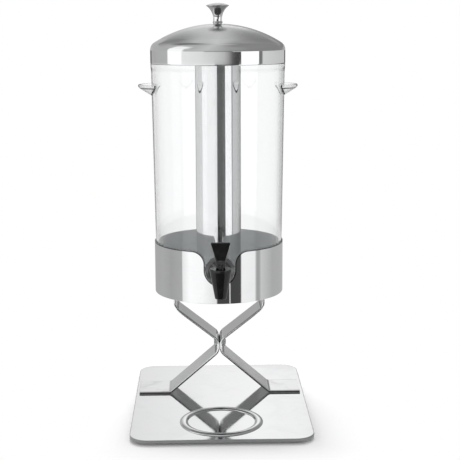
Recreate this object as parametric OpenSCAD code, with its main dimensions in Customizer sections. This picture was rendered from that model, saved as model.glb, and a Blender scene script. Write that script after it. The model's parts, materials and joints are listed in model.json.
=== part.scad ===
// Juice dispenser: a clear tank with an ice tube and a lever tap, lifted out of a steel holder
// on two bent strip legs. Millimetres, +Z up, the tap faces -Y.
// The origin is the middle of the base plate, on the surface that the feet stand on.

/* [Base plate] */
// Width of the base plate, left to right
plate_w = 218; // [214:1:260]
// Depth of the base plate, front to back
plate_d = 288; // [280:1:340]
// Thickness of the base plate
plate_t = 4; // [3:0.5:8]
// Radius of the base plate's corners
plate_corner_r = 22; // [10:1:40]
// Distance from the tank's axis to the plate's back edge
tank_back = 99; // [90:1:120]
// Diameter of a rubber foot
foot_d = 18; // [12:1:24]
// Height of a rubber foot
foot_h = 3; // [2:0.5:8]
// Distance from the plate's edges to a foot's centre
foot_inset = 24; // [16:1:40]
// Outer radius of the ring that locates the glass
glass_ring_r = 50.5; // [35:0.5:58]
// Width of the ring's flat bead
glass_ring_w = 10; // [6:0.5:16]
// Height of the ring's flat bead
glass_ring_h = 2; // [1:0.5:3]

/* [Legs] */
// Thickness of the leg strip
strip_t = 3; // [2:0.5:5]
// Width of the leg strip, front to back
strip_w = 45; // [36:1:60]
// Height of the holder's underside above the plate
stand_rise = 135; // [125:1:170]
// Distance from the middle to the end of a foot tab
tab_end = 105; // [98:1:107]
// Distance from the middle to the corner where a leg leaves the plate
tab_corner = 64; // [55:1:68]
// Height of the crossing bolt above the plate
cross_rise = 63.3; // [55:0.5:70]
// Height between the two bends at the crossing
cross_length = 15; // [14:0.5:18]
// Distance from the middle to the leg's upright shoulder
shoulder_x = 57; // [52:1:62]
// Drop from the holder's underside to the shoulder corner
shoulder_drop = 20.5; // [19:0.5:26]
// Distance from the middle to the inner end of a holder flange
flange_end = 28; // [24:1:32]
// Bend radius at the foot tab, on the strip's middle
tab_bend_r = 8; // [5:0.5:10]
// Bend radius at the crossing, on the strip's middle
cross_bend_r = 12.5; // [4:0.5:14]
// Bend radius at the shoulder, on the strip's middle
shoulder_bend_r = 16; // [6:0.5:17]
// Bend radius at the holder flange, on the strip's middle
flange_bend_r = 8; // [5:0.5:9]

/* [Holder] */
// Gap between the tank and the holder's band at the band's top
holder_gap = 0.5; // [0.4:0.1:4]
// Thickness of the band's sheet
holder_t = 1; // [0.8:0.1:1.5]
// Height of the band
holder_h = 65.25; // [60:0.25:80]
// Thickness of the holder's floor
holder_floor_t = 1.5; // [1:0.5:3]
// Thickness of the pad under the tank
pad_t = 4; // [3.5:0.5:6]
// Width of the tap notch between its upright sides
notch_w = 38; // [37.5:0.5:44]
// Radius of the flared corners at the notch's top
notch_flare_r = 16; // [8:1:20]

/* [Tank] */
// Outer radius of the tank under its rim bead
tank_r_top = 84; // [74:0.1:95]
// How much smaller the tank's radius is at its foot
tank_draft = 3.8; // [2:0.1:6]
// Thickness of the tank's wall
tank_wall = 3; // [2.5:0.1:4]
// Height of the tank from its foot to the lid's seat
tank_h = 285.6; // [260:0.1:340]
// Height of the hollow foot under the tank's floor
tank_foot_h = 13.5; // [12:0.5:16]
// Thickness of the tank's floor
tank_floor_t = 4; // [3:0.5:6]
// Height of the bead that carries the lid
bead_h = 9; // [6:0.5:14]
// How far the bead stands out from the wall
bead_out = 0.6; // [0.4:0.1:2]
// Height of the neck inside the lid
neck_h = 12; // [10:0.5:13]
// Gap between the neck and the lid's skirt
neck_gap = 0.6; // [0.5:0.1:0.8]
// How far an ear handle stands out from the wall
ear_out = 16.5; // [12:0.5:22]
// Radius of an ear handle's outline
ear_r = 34; // [28:0.5:38]
// Drop from the lid's seat to the top of an ear's lip
ear_drop = 26; // [20:1:60]
// Height of an ear from its root to its lip
ear_h = 15; // [12:0.5:20]
// Thickness of an ear's wall
ear_wall = 2.6; // [2:0.1:3.5]

/* [Ice tube] */
// Outer radius of the ice tube
tube_r = 28.75; // [22:0.25:36]
// Thickness of the ice tube's sheet
tube_t = 0.8; // [0.6:0.1:1.5]
// Distance from the tube's top to the top of the tank's neck
tube_gap = 1; // [0:0.5:20]

/* [Lid] */
// How far the lid stands out over the bead
lid_out = 0.1; // [0:0.1:1]
// Thickness of the lid's sheet
lid_t = 0.8; // [0.6:0.1:0.9]
// Height of the lid's apex above its lower edge
lid_h = 48.6; // [44:0.1:56]
// Radius of the lid's dome
dome_r = 150; // [140:1:170]
// Radius of the rounded shoulder between skirt and dome
lid_shoulder_r = 11.5; // [4:0.5:14]
// Height of the knob
knob_h = 25.8; // [22:0.1:36]
// Radius of the knob's top
knob_r = 14.3; // [12:0.1:18]
// Height of the knob's crown above its rim
knob_crown_h = 3; // [1:0.1:5]
// Radius of the knob's waist
knob_waist_r = 5.4; // [5:0.1:7]

/* [Tap] */
// Height of the tap's shank above the tank's foot
tap_rise = 36.5; // [35:0.5:45]
// Distance from the holder's band to the spout's axis
tap_out = 45.5; // [40:0.5:52]
// Radius of the threaded shank
shank_r = 8; // [7:0.5:9]
// Radius of the bore through the shank
shank_bore_r = 5; // [3.5:0.5:5.5]
// Radius of the tank's flat boss and of the collar in front of it
collar_r = 17.75; // [16:0.25:18]
// Thickness of the collar
collar_t = 4; // [3:0.5:6]
// Radius of the tap's barrel at its top
barrel_r = 13.2; // [12:0.1:15]
// Radius of the spout at its mouth
spout_r = 6.8; // [6:0.1:8]
// Radius of the spout's bore
spout_bore_r = 4.5; // [3.5:0.1:4.8]
// Drop from the shank's axis to the spout's mouth
spout_drop = 23.7; // [22:0.1:30]
// Height of the bonnet's top above the shank's axis
bonnet_rise = 12.8; // [12:0.1:16]
// Radius of the valve stem
stem_r = 2.5; // [2:0.1:3]
// Height that the stem rises when the lever is pulled right over
stem_travel = 3.5; // [2.5:0.1:4]
// Angle that the lever is pulled through, in degrees
lever_angle = 40; // [30:1:45]
// Height of the lever above its pin
lever_h = 25; // [20:0.5:34]
// Width of the lever at its top
lever_top_w = 23.5; // [16:0.5:28]
// Width of the lever's fork
lever_foot_w = 11; // [10:0.5:13]

/* [Hidden] */
$fn = 96;

// Clearances
weld_gap = 0.1;
screw_gap = 0.15;
run_gap = 0.05;
slide_gap = 0.3;
seat_gap = 0.1;

// How far a cut runs on past the face that it opens
cut = 1;

// Steps in a drawn arc
arc_steps = 12;

// Heights of the main levels
deck = foot_h + plate_t;
holder_z = deck + stand_rise;
pad_z = holder_z + holder_floor_t;
tank_z = pad_z + pad_t;
floor_z = tank_z + tank_foot_h;
tank_floor_z = floor_z + tank_floor_t;
lid_seat_z = tank_z + tank_h;
lid_z = lid_seat_z + seat_gap;
neck_top_z = lid_seat_z + neck_h;
tap_z = tank_z + tap_rise;
holder_top_z = holder_z + holder_h;

// Radii of the tank and of what fits round it
bead_z = lid_seat_z - bead_h;
tank_r_base = tank_r_top - tank_draft;
function draft_r(z) = tank_r_base + tank_draft * (z - tank_z) / (bead_z - tank_z);
bead_r = tank_r_top + bead_out;
lid_r = bead_r + lid_out;
neck_r = lid_r - lid_t - neck_gap;
holder_r = draft_r(holder_top_z) + holder_gap + holder_t;
tap_reach = holder_r + tap_out;

// Places seen from above
axis_y = plate_d / 2 - tank_back;
spout_y = axis_y - tap_reach;

// Legs
cross_low = cross_rise - cross_length / 2;
cross_high = cross_rise + cross_length / 2;
leg_path = [
    [-tab_end, strip_t / 2],
    [-tab_corner, strip_t / 2],
    [-strip_t / 2, cross_low],
    [-strip_t / 2, cross_high],
    [-shoulder_x, stand_rise - shoulder_drop],
    [-shoulder_x, stand_rise - strip_t / 2],
    [-flange_end, stand_rise - strip_t / 2]
];
leg_bends = [tab_bend_r, cross_bend_r, cross_bend_r, shoulder_bend_r, flange_bend_r];

// Base
foot_taper = 1;

// Holder
pad_gap = 1;
pad_hole_gap = 4;

// Fasteners: M4 under the tabs, M6 at the crossing, M5 at the flanges and the knob
tab_screw_r = 2;
tab_screw_head_r = 3.8;
tab_screw_head_h = 2.2;
tab_screw_bite = 2.4;
tab_screw_inset = 20;
tab_screw_edge = 10;
tab_screw_x = tab_end - tab_screw_inset;
tab_screw_y = strip_w / 2 - tab_screw_edge;
cross_bolt_r = 3;
cross_flats = 10;
cross_head_h = 4;
cross_nut_h = 5;
cross_bolt_tail = 0.6;
cross_seat_gap = 0.4;
cross_seat_r = cross_flats / sqrt(3) + cross_seat_gap;
flange_screw_r = 2.5;
flange_screw_head_r = 4.75;
flange_screw_head_h = 2.7;
flange_nut_flats = 8;
flange_nut_h = 4;
flange_screw_tail = 0.8;
flange_screw_inset = 9;
flange_screw_edge = 9;
flange_screw_x = flange_end + flange_screw_inset;
flange_screw_y = strip_w / 2 - flange_screw_edge;
// Side of a pan head, as shares of its radius and height
pan_head = [[1, 0], [1, 0.4], [0.8, 0.8], [0.45, 1], [0, 1]];
knob_screw_r = 2.5;
knob_screw_head_r = 4.5;
knob_screw_head_h = 3;
knob_screw_bite = 9;
knob_washer_r = 9;
knob_washer_t = 1;
knob_hole_spare = 1;
knob_foot_h = 0.5;
knob_bead_r = 1.5;
knob_bead_out = 0.8;
knob_waist_h = 2.5;
knob_edge_h = 0.5;

// Tank
ear_x = tank_r_top + ear_out - ear_r;
ear_top_z = lid_seat_z - ear_drop;
ear_root_z = ear_top_z - ear_h;
bead_ease = 5;
ear_tip_h = 5;
ear_tip_ease = 2;
seal_rise = 4;
seal_z = lid_seat_z + seal_rise;
seal_h = 3;
seal_groove = 1;
boss_proud = 0.1;
boss_outer = holder_r + boss_proud;
boss_wall_r = draft_r(tap_z - collar_r) - tank_wall;
boss_inner = sqrt(pow(boss_wall_r, 2) - pow(collar_r, 2)) - boss_proud;

// Ice tube
tube_seal_t = 1.5;
tube_seal_r = 16;
tube_base_t = 1.2;
tube_stud_r = 5;
tube_washer_r = 12;
tube_washer_t = 1.5;
tube_nut_flats = 16;
tube_nut_h = 7;
tube_z = tank_floor_z + tube_seal_t;
tube_top_z = neck_top_z - tube_gap;
tube_stud_tail = 1;

// Lid
lid_apex_z = lid_z + lid_h;
dome_z = lid_apex_z - dome_r;
knob_flat_r = knob_washer_r + slide_gap;
knob_z = dome_z + sqrt(pow(dome_r, 2) - pow(knob_flat_r, 2));

// Tap
collar_edge = 1;
gasket_t = 2;
gasket_r = 15.5;
tap_nut_flats = 24;
tap_nut_h = 7;
shank_tail = 3;
neck_pipe_r = 9;
collar_back = boss_outer + gasket_t;
collar_front = collar_back + collar_t;
nut_back = boss_inner - gasket_t;
shank_end = nut_back - tap_nut_h - shank_tail;
bonnet_z = tap_z + bonnet_rise;
bonnet_cap_h = 2;
bonnet_plug_h = 2.5;
bonnet_edge = 0.8;
barrel_top_z = bonnet_z - bonnet_cap_h;
bonnet_under_z = barrel_top_z - bonnet_plug_h;
spout_z = tap_z - spout_drop;
seat_drop = 9;
seat_z = tap_z - seat_drop;
chamber_r = 7.6;
cup_r = 6.6;
cup_h = 4;
cup_base_t = 1.5;
cup_edge = 1;
cup_z = seat_z + seat_gap;
cup_top_z = cup_z + cup_h;
spring_wire_r = 0.25;
spring_r = 5.2;
spring_turns = 5;

// Lever: its cam keeps the stem's rise in step with the angle
lever_ratio = stem_travel / (lever_angle * PI / 180);
cam_rest = 6;
pin_r = 1.5;
pin_z = bonnet_z + slide_gap + cam_rest;
stem_head = 3.4;
fork_slot = stem_r + slide_gap;
fork_room = norm([stem_r, stem_head]) + slide_gap;
lever_heel = 5;
lever_t = 5;
lever_web = 1.6;
lever_waist = fork_room + lever_web;
paddle_root = lever_waist - lever_t / 2;
heel_z = 2;
cam_spare_angle = 6;
cam_over_angle = lever_angle + cam_spare_angle;
pin_inset = 0.2;

// Outlines
function arc_points(centre, r, from, to) =
    [for (i = [0 : arc_steps]) let (a = from + (to - from) * i / arc_steps)
        centre + r * [cos(a), sin(a)]];
function reversed(list) = [for (i = [len(list) - 1 : -1 : 0]) list[i]];
function unit(v) = v / norm(v);
function left_of(v) = [-v[1], v[0]];
function turned(v, a) = [v[0] * cos(a) - v[1] * sin(a), v[0] * sin(a) + v[1] * cos(a)];

// Places and left-hand normals round one bend of a path
function bend_steps(a, b, c, r) =
    let (u = unit(b - a), w = unit(c - b), turn = acos(u * w))
    let (side = sign(u[0] * w[1] - u[1] * w[0]))
    let (first = b - u * r * tan(turn / 2), centre = first + side * r * left_of(u))
    [for (i = [0 : arc_steps]) let (n = turned(left_of(u), side * turn * i / arc_steps))
        [centre - side * r * n, n]];

// Outline of a strip of thickness t bent along a path
function strip_outline(path, bends, t) =
    let (last = len(path) - 1)
    let (steps = concat(
        [[path[0], left_of(unit(path[1] - path[0]))]],
        [for (i = [1 : last - 1]) each bend_steps(path[i - 1], path[i], path[i + 1], bends[i - 1])],
        [[path[last], left_of(unit(path[last] - path[last - 1]))]]))
    concat([for (s = steps) s[0] + s[1] * t / 2], reversed([for (s = steps) s[0] - s[1] * t / 2]));

// Dome line from the knob's flat to the skirt, moved inwards by a sheet thickness
function lid_line(inset) =
    let (r = dome_r - inset, s = lid_shoulder_r - inset, cx = lid_r - lid_shoulder_r)
    let (cz = dome_z + sqrt(pow(dome_r - lid_shoulder_r, 2) - cx * cx))
    let (meet = atan2(cz - dome_z, cx), top = acos(knob_flat_r / dome_r))
    concat(
        [[0, knob_z - inset]],
        arc_points([0, dome_z], r, top, meet),
        arc_points([cx, cz], s, meet, 0));

// Lever cam: a flat heel, then a curve whose reach below the pin grows evenly with the angle
function cam_point(a) =
    let (reach = cam_rest + lever_ratio * a * PI / 180)
    [-reach * sin(a) - lever_ratio * cos(a), -reach * cos(a) + lever_ratio * sin(a)];

// Spring wire: rings of points along a helix
spring_length = bonnet_under_z - cup_top_z - 2 * spring_wire_r - 2 * seat_gap;
turn_steps = 8;
spring_rings = spring_turns * turn_steps;
wire_sides = 6;
function spring_ring(i) =
    let (a = 360 * i / turn_steps, z = spring_length * i / spring_rings)
    [for (k = [0 : wire_sides - 1]) let (b = 360 * k / wire_sides)
        [(spring_r + spring_wire_r * cos(b)) * cos(a),
         (spring_r + spring_wire_r * cos(b)) * sin(a),
         z + spring_wire_r * sin(b)]];
spring_points = [for (i = [0 : spring_rings]) each spring_ring(i)];
spring_sides = [for (i = [0 : spring_rings - 1], k = [0 : wire_sides - 1])
    let (n = (k + 1) % wire_sides, a = i * wire_sides + k, b = i * wire_sides + n)
    each [[a, a + wire_sides, b], [b, a + wire_sides, b + wire_sides]]];
spring_ends = [for (k = [1 : wire_sides - 2])
    let (e = spring_rings * wire_sides)
    each [[0, k, k + 1], [e, e + k + 1, e + k]]];
echo(spring_gap = spring_length / spring_turns - 2 * spring_wire_r);

// Shared shapes
module turned_part(points) { rotate_extrude() polygon(points); }

module at_tank() { translate([0, axis_y, 0]) children(); }

// Lays a part that is drawn upwards along +Z so that it points out of the tank along -Y
module at_tap(from) {
    translate([0, axis_y - from, tap_z]) rotate([90, 0, 0]) children();
}

module at_spout(z) { translate([0, spout_y, z]) children(); }

module hex_prism(flats, h) { cylinder(r = flats / sqrt(3), h = h, $fn = 6); }

module four_corners(x, y) {
    for (sx = [-1, 1], sy = [-1, 1]) translate([sx * x, sy * y, 0]) children();
}

module rounded_plate(w, d, r, h) {
    linear_extrude(h) {
        square([w - 2 * r, d], center = true);
        square([w, d - 2 * r], center = true);
        four_corners(w / 2 - r, d / 2 - r) circle(r);
    }
}

module pan_screw(r, head_r, head_h, length) {
    translate([0, 0, -length]) cylinder(r = r, h = length);
    turned_part(concat([[0, 0]], [for (s = pan_head) [head_r * s[0], head_h * s[1]]]));
}

module flat_ring(outer, inner, h) {
    difference() {
        cylinder(r = outer, h = h);
        translate([0, 0, -cut]) cylinder(r = inner, h = h + 2 * cut);
    }
}

// Base
module base_plate() {
    color("gainsboro") difference() {
        translate([0, 0, foot_h]) rounded_plate(plate_w, plate_d, plate_corner_r, plate_t);
        at_tank() four_corners(tab_screw_x, tab_screw_y) {
            translate([0, 0, foot_h - cut])
                cylinder(r = tab_screw_r + screw_gap, h = plate_t + 2 * cut);
            translate([0, 0, foot_h]) cylinder(
                r1 = tab_screw_head_r + screw_gap, r2 = tab_screw_r + screw_gap, h = tab_screw_head_h);
        }
    }
}

module base_feet() {
    color("dimgray") four_corners(plate_w / 2 - foot_inset, plate_d / 2 - foot_inset)
        cylinder(r1 = foot_d / 2 - foot_taper, r2 = foot_d / 2, h = foot_h);
}

module glass_ring() {
    bead_r = (pow(glass_ring_w / 2, 2) + pow(glass_ring_h, 2)) / (2 * glass_ring_h);
    color("silver") at_spout(deck) rotate_extrude() intersection() {
        translate([glass_ring_r - glass_ring_w / 2, glass_ring_h - bead_r]) circle(bead_r);
        translate([glass_ring_r - glass_ring_w, 0]) square([glass_ring_w, glass_ring_h]);
    }
}

module tab_screws() {
    color("darkgray") at_tank() four_corners(tab_screw_x, tab_screw_y) translate([0, 0, foot_h]) {
        cylinder(r = tab_screw_r, h = plate_t + tab_screw_bite);
        cylinder(r1 = tab_screw_head_r, r2 = tab_screw_r, h = tab_screw_head_h);
    }
}

module left_leg() {
    color("lightgray") at_tank() difference() {
        translate([0, 0, deck]) rotate([90, 0, 0])
            linear_extrude(strip_w, center = true) polygon(strip_outline(leg_path, leg_bends, strip_t));
        for (s = [-1, 1]) {
            translate([-tab_screw_x, s * tab_screw_y, deck - cut])
                cylinder(r = tab_screw_r + screw_gap, h = tab_screw_bite + cut + screw_gap);
            translate([-flange_screw_x, s * flange_screw_y, holder_z - strip_t - cut])
                cylinder(r = flange_screw_r + screw_gap, h = strip_t + 2 * cut);
        }
        translate([-strip_t - cut, 0, deck + cross_rise]) rotate([0, 90, 0])
            cylinder(r = cross_bolt_r + screw_gap, h = strip_t + 2 * cut);
        translate([-strip_t - cross_nut_h, 0, deck + cross_rise]) rotate([0, 90, 0])
            cylinder(r = cross_seat_r, h = cross_nut_h);
    }
}

module right_leg() { mirror([1, 0, 0]) left_leg(); }

module cross_bolt() {
    color("darkgray") at_tank() translate([-strip_t, 0, deck + cross_rise]) rotate([0, 90, 0]) {
        translate([0, 0, -cross_head_h / 2]) cylinder(
            r = cross_bolt_r, h = cross_head_h / 2 + 2 * strip_t + cross_nut_h + cross_bolt_tail);
        translate([0, 0, -cross_head_h]) rotate(30) hex_prism(cross_flats, cross_head_h);
    }
}

module cross_nut() {
    color("darkgray") at_tank() translate([strip_t, 0, deck + cross_rise]) rotate([0, 90, 0])
        difference() {
            rotate(30) hex_prism(cross_flats, cross_nut_h);
            translate([0, 0, -cut]) cylinder(r = cross_bolt_r + screw_gap, h = cross_nut_h + 2 * cut);
        }
}

// Holder
module tap_notch() {
    side = notch_w / 2;
    flare_z = holder_top_z - notch_flare_r;
    rotate([90, 0, 0]) linear_extrude(holder_r + cut) {
        translate([0, tap_z]) circle(side);
        translate([-side, tap_z]) square([notch_w, holder_top_z - tap_z + cut]);
        difference() {
            translate([-side - notch_flare_r, flare_z])
                square([notch_w + 2 * notch_flare_r, notch_flare_r + cut]);
            for (s = [-1, 1]) translate([s * (side + notch_flare_r), flare_z]) circle(notch_flare_r);
        }
    }
}

module holder_band() {
    color("silver") at_tank() difference() {
        translate([0, 0, holder_z]) flat_ring(holder_r, holder_r - holder_t, holder_h);
        tap_notch();
    }
}

module holder_floor() {
    color("silver") at_tank() difference() {
        translate([0, 0, holder_z]) cylinder(r = holder_r - holder_t - weld_gap, h = holder_floor_t);
        four_corners(flange_screw_x, flange_screw_y) translate([0, 0, holder_z - cut])
            cylinder(r = flange_screw_r + screw_gap, h = holder_floor_t + 2 * cut);
    }
}

module holder_screws() {
    color("darkgray") at_tank() four_corners(flange_screw_x, flange_screw_y) translate([0, 0, pad_z])
        pan_screw(flange_screw_r, flange_screw_head_r, flange_screw_head_h,
            holder_floor_t + strip_t + flange_nut_h + flange_screw_tail);
}

module holder_nuts() {
    color("darkgray") at_tank() four_corners(flange_screw_x, flange_screw_y)
        translate([0, 0, holder_z - strip_t - flange_nut_h]) difference() {
            hex_prism(flange_nut_flats, flange_nut_h);
            translate([0, 0, -cut])
                cylinder(r = flange_screw_r + screw_gap, h = flange_nut_h + 2 * cut);
        }
}

module holder_pad() {
    color("dimgray") at_tank() translate([0, 0, pad_z]) difference() {
        flat_ring(holder_r - holder_t - pad_gap, tube_washer_r + pad_hole_gap, pad_t);
        four_corners(flange_screw_x, flange_screw_y) translate([0, 0, -cut])
            cylinder(r = flange_screw_head_r + pad_gap, h = pad_t + 2 * cut);
    }
}

// Tank
// Ear handle: a thin scoop, turned and cut back to the middle of the tank's wall
module tank_ear() {
    root_r = tank_r_top - tank_wall / 2 - ear_x;
    line = [
        [root_r, ear_root_z],
        [ear_r - ear_tip_ease, ear_top_z - ear_tip_h],
        [ear_r, ear_top_z - ear_tip_h + ear_tip_ease],
        [ear_r, ear_top_z]
    ];
    slope = unit(line[1] - line[0]);
    inner = line[0] + ear_wall * left_of(slope);
    run = (ear_r - ear_wall - inner[0]) / slope[0];
    difference() {
        translate([ear_x, 0, 0]) turned_part(concat(line, [
            [ear_r - ear_wall, ear_top_z],
            inner + run * slope,
            inner,
            [inner[0], ear_root_z]
        ]));
        translate([0, 0, ear_root_z - cut]) cylinder(r = tank_r_top - tank_wall / 2, h = ear_h + 2 * cut);
    }
}

module tank() {
    color([0.86, 0.9, 0.92, 0.35]) at_tank() difference() {
        union() {
            turned_part([
                [tank_r_base, tank_z],
                [tank_r_top, bead_z],
                [bead_r, bead_z + bead_ease],
                [bead_r, lid_seat_z],
                [neck_r, lid_seat_z],
                [neck_r, seal_z],
                [neck_r - seal_groove, seal_z],
                [neck_r - seal_groove, seal_z + seal_h],
                [neck_r, seal_z + seal_h],
                [neck_r, neck_top_z],
                [tank_r_top - tank_wall, neck_top_z],
                [draft_r(tank_floor_z) - tank_wall, tank_floor_z],
                [0, tank_floor_z],
                [0, floor_z],
                [draft_r(floor_z) - tank_wall, floor_z],
                [tank_r_base - tank_wall, tank_z]
            ]);
            tank_ear();
            mirror([1, 0, 0]) tank_ear();
            translate([0, -boss_inner, tap_z]) rotate([90, 0, 0])
                cylinder(r = collar_r, h = boss_outer - boss_inner);
        }
        translate([0, -boss_inner + cut, tap_z]) rotate([90, 0, 0])
            cylinder(r = shank_r + screw_gap, h = boss_outer - boss_inner + 2 * cut);
        translate([0, 0, floor_z - cut])
            cylinder(r = tube_stud_r + screw_gap, h = tank_floor_t + 2 * cut);
    }
}

module rim_seal() {
    color("whitesmoke") at_tank() translate([0, 0, seal_z + seat_gap])
        flat_ring(lid_r - lid_t - slide_gap, neck_r - seal_groove + weld_gap, seal_h - 2 * seat_gap);
}

module ice_tube() {
    stud = tube_seal_t + tank_floor_t + tube_washer_t + tube_nut_h + tube_stud_tail;
    color("lightgray") at_tank() {
        turned_part([
            [0, tube_z],
            [tube_r, tube_z],
            [tube_r, tube_top_z],
            [tube_r - tube_t, tube_top_z],
            [tube_r - tube_t, tube_z + tube_base_t],
            [0, tube_z + tube_base_t]
        ]);
        translate([0, 0, tube_z - stud]) cylinder(r = tube_stud_r, h = stud + tube_base_t / 2);
    }
}

module ice_tube_seal() {
    color("whitesmoke") at_tank() translate([0, 0, tank_floor_z])
        flat_ring(tube_seal_r, tube_stud_r + screw_gap, tube_seal_t);
}

module ice_tube_washer() {
    color("darkgray") at_tank() translate([0, 0, floor_z - tube_washer_t])
        flat_ring(tube_washer_r, tube_stud_r + screw_gap, tube_washer_t);
}

module ice_tube_nut() {
    color("darkgray") at_tank() translate([0, 0, floor_z - tube_washer_t - tube_nut_h]) difference() {
        hex_prism(tube_nut_flats, tube_nut_h);
        translate([0, 0, -cut]) cylinder(r = tube_stud_r + screw_gap, h = tube_nut_h + 2 * cut);
    }
}

// Tap
module tap_body() {
    color([0.1, 0.1, 0.1]) difference() {
        union() {
            at_tap(shank_end) cylinder(r = shank_r, h = collar_front - shank_end);
            at_tap(collar_front) cylinder(r = neck_pipe_r, h = tap_reach - collar_front);
            at_spout(spout_z) cylinder(r1 = spout_r, r2 = barrel_r, h = barrel_top_z - spout_z);
        }
        at_tap(shank_end - cut) cylinder(r = shank_bore_r, h = tap_reach - shank_end + cut);
        at_spout(spout_z - cut) cylinder(r = spout_bore_r, h = barrel_top_z - spout_z + 2 * cut);
        at_spout(seat_z) cylinder(r = chamber_r, h = barrel_top_z - seat_z + cut);
    }
}

module tap_collar() {
    color([0.22, 0.22, 0.22]) at_tap(collar_back) difference() {
        turned_part([
            [0, 0],
            [collar_r, 0],
            [collar_r, collar_t - collar_edge],
            [collar_r - collar_edge, collar_t],
            [0, collar_t]
        ]);
        translate([0, 0, -cut]) cylinder(r = shank_r + screw_gap, h = collar_t + 2 * cut);
    }
}

module tap_outer_gasket() {
    color([0.15, 0.15, 0.15]) at_tap(boss_outer) flat_ring(gasket_r, shank_r + screw_gap, gasket_t);
}

module tap_inner_gasket() {
    color([0.15, 0.15, 0.15]) at_tap(nut_back) flat_ring(gasket_r, shank_r + screw_gap, gasket_t);
}

module tap_nut() {
    color([0.1, 0.1, 0.1]) at_tap(nut_back - tap_nut_h) difference() {
        hex_prism(tap_nut_flats, tap_nut_h);
        translate([0, 0, -cut]) cylinder(r = shank_r + screw_gap, h = tap_nut_h + 2 * cut);
    }
}

module tap_bonnet() {
    color([0.12, 0.12, 0.12]) at_spout(bonnet_under_z) difference() {
        turned_part([
            [0, 0],
            [chamber_r - weld_gap, 0],
            [chamber_r - weld_gap, bonnet_plug_h],
            [barrel_r, bonnet_plug_h],
            [barrel_r, bonnet_plug_h + bonnet_cap_h - bonnet_edge],
            [barrel_r - bonnet_edge, bonnet_plug_h + bonnet_cap_h],
            [0, bonnet_plug_h + bonnet_cap_h]
        ]);
        translate([0, 0, -cut])
            cylinder(r = stem_r + run_gap, h = bonnet_plug_h + bonnet_cap_h + 2 * cut);
    }
}

module tap_spring() {
    color("silver") at_spout(cup_top_z + spring_wire_r + seat_gap)
        polyhedron(points = spring_points, faces = concat(spring_sides, spring_ends));
}

module tap_stem() {
    color([0.2, 0.2, 0.2]) difference() {
        at_spout(cup_z + cup_base_t)
            cylinder(r = stem_r, h = pin_z + stem_head - cup_z - cup_base_t);
        at_spout(pin_z) rotate([0, 90, 0])
            cylinder(r = pin_r + run_gap / 2, h = 4 * stem_r, center = true);
    }
}

module seat_cup() {
    color([0.3, 0.3, 0.3]) at_spout(cup_z) difference() {
        turned_part([
            [0, 0],
            [cup_r - cup_edge, 0],
            [cup_r, cup_edge],
            [cup_r, cup_h],
            [0, cup_h]
        ]);
        translate([0, 0, cup_base_t]) cylinder(r = stem_r + run_gap, h = cup_h);
    }
}

module lever_pin() {
    color("silver") at_spout(pin_z) rotate([0, 90, 0])
        cylinder(r = pin_r, h = lever_foot_w - 2 * pin_inset, center = true);
}

module tap_lever() {
    cam = [for (i = [0 : arc_steps]) cam_point(cam_over_angle * i / arc_steps)];
    half_t = lever_t / 2;
    color([0.08, 0.08, 0.08]) at_spout(pin_z) difference() {
        union() {
            // Fork with its cam feet, drawn as seen from the side
            rotate([90, 0, 90]) linear_extrude(lever_foot_w, center = true) polygon(concat(
                [[lever_heel, -cam_rest]],
                cam,
                [[-half_t, paddle_root], [-half_t, lever_waist], [half_t, lever_waist],
                 [half_t, heel_z], [lever_heel, -heel_z]]));
            // Fan-shaped paddle, drawn as seen from the front
            rotate([90, 0, 0]) linear_extrude(lever_t, center = true) polygon([
                [-lever_foot_w / 2, paddle_root],
                [lever_foot_w / 2, paddle_root],
                [lever_top_w / 2, lever_h],
                [-lever_top_w / 2, lever_h]
            ]);
        }
        // Slot for the stem, with room above its head at every angle
        rotate([0, 90, 0]) cylinder(r = fork_room, h = 2 * fork_slot, center = true);
        translate([-fork_slot, -lever_h, -lever_h]) cube([2 * fork_slot, 2 * lever_h, lever_h]);
        rotate([0, 90, 0]) cylinder(r = pin_r + run_gap, h = lever_foot_w + 2 * cut, center = true);
    }
}

// Lid
module lid_shell() {
    color("silver") at_tank() difference() {
        turned_part(concat(
            lid_line(0),
            [[lid_r, lid_z], [lid_r - lid_t, lid_z]],
            reversed(lid_line(lid_t))));
        translate([0, 0, knob_z - lid_t - cut])
            cylinder(r = knob_screw_r + screw_gap, h = lid_t + 2 * cut);
    }
}

module lid_knob() {
    bead_x = knob_waist_r + knob_bead_out - knob_bead_r;
    bead_z = knob_foot_h + knob_bead_r;
    bead_a = acos((knob_waist_r - bead_x) / knob_bead_r);
    flare_z = bead_z + knob_bead_r * sin(bead_a) + knob_waist_h;
    rim_z = knob_h - knob_crown_h - knob_edge_h;
    out = knob_r - knob_waist_r;
    flare_r = (pow(rim_z - flare_z, 2) + pow(out, 2)) / (2 * out);
    crown_r = (pow(knob_r, 2) + pow(knob_crown_h, 2)) / (2 * knob_crown_h);
    color("lightgray") at_tank() translate([0, 0, knob_z]) difference() {
        turned_part(concat(
            [[0, 0], [knob_waist_r, 0]],
            arc_points([bead_x, bead_z], knob_bead_r, -bead_a, bead_a),
            arc_points([knob_waist_r + flare_r, flare_z], flare_r, 180, 180 - acos(1 - out / flare_r)),
            arc_points([0, knob_h - crown_r], crown_r, acos(knob_r / crown_r), 90)));
        translate([0, 0, -cut])
            cylinder(r = knob_screw_r + screw_gap, h = knob_screw_bite + knob_hole_spare + cut);
    }
}

module knob_screw() {
    color("darkgray") at_tank() translate([0, 0, knob_z - lid_t - knob_washer_t]) mirror([0, 0, 1])
        pan_screw(knob_screw_r, knob_screw_head_r, knob_screw_head_h,
            knob_screw_bite + lid_t + knob_washer_t);
}

module knob_washer() {
    color("darkgray") at_tank() translate([0, 0, knob_z - lid_t - knob_washer_t])
        flat_ring(knob_washer_r, knob_screw_r + screw_gap, knob_washer_t);
}

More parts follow.
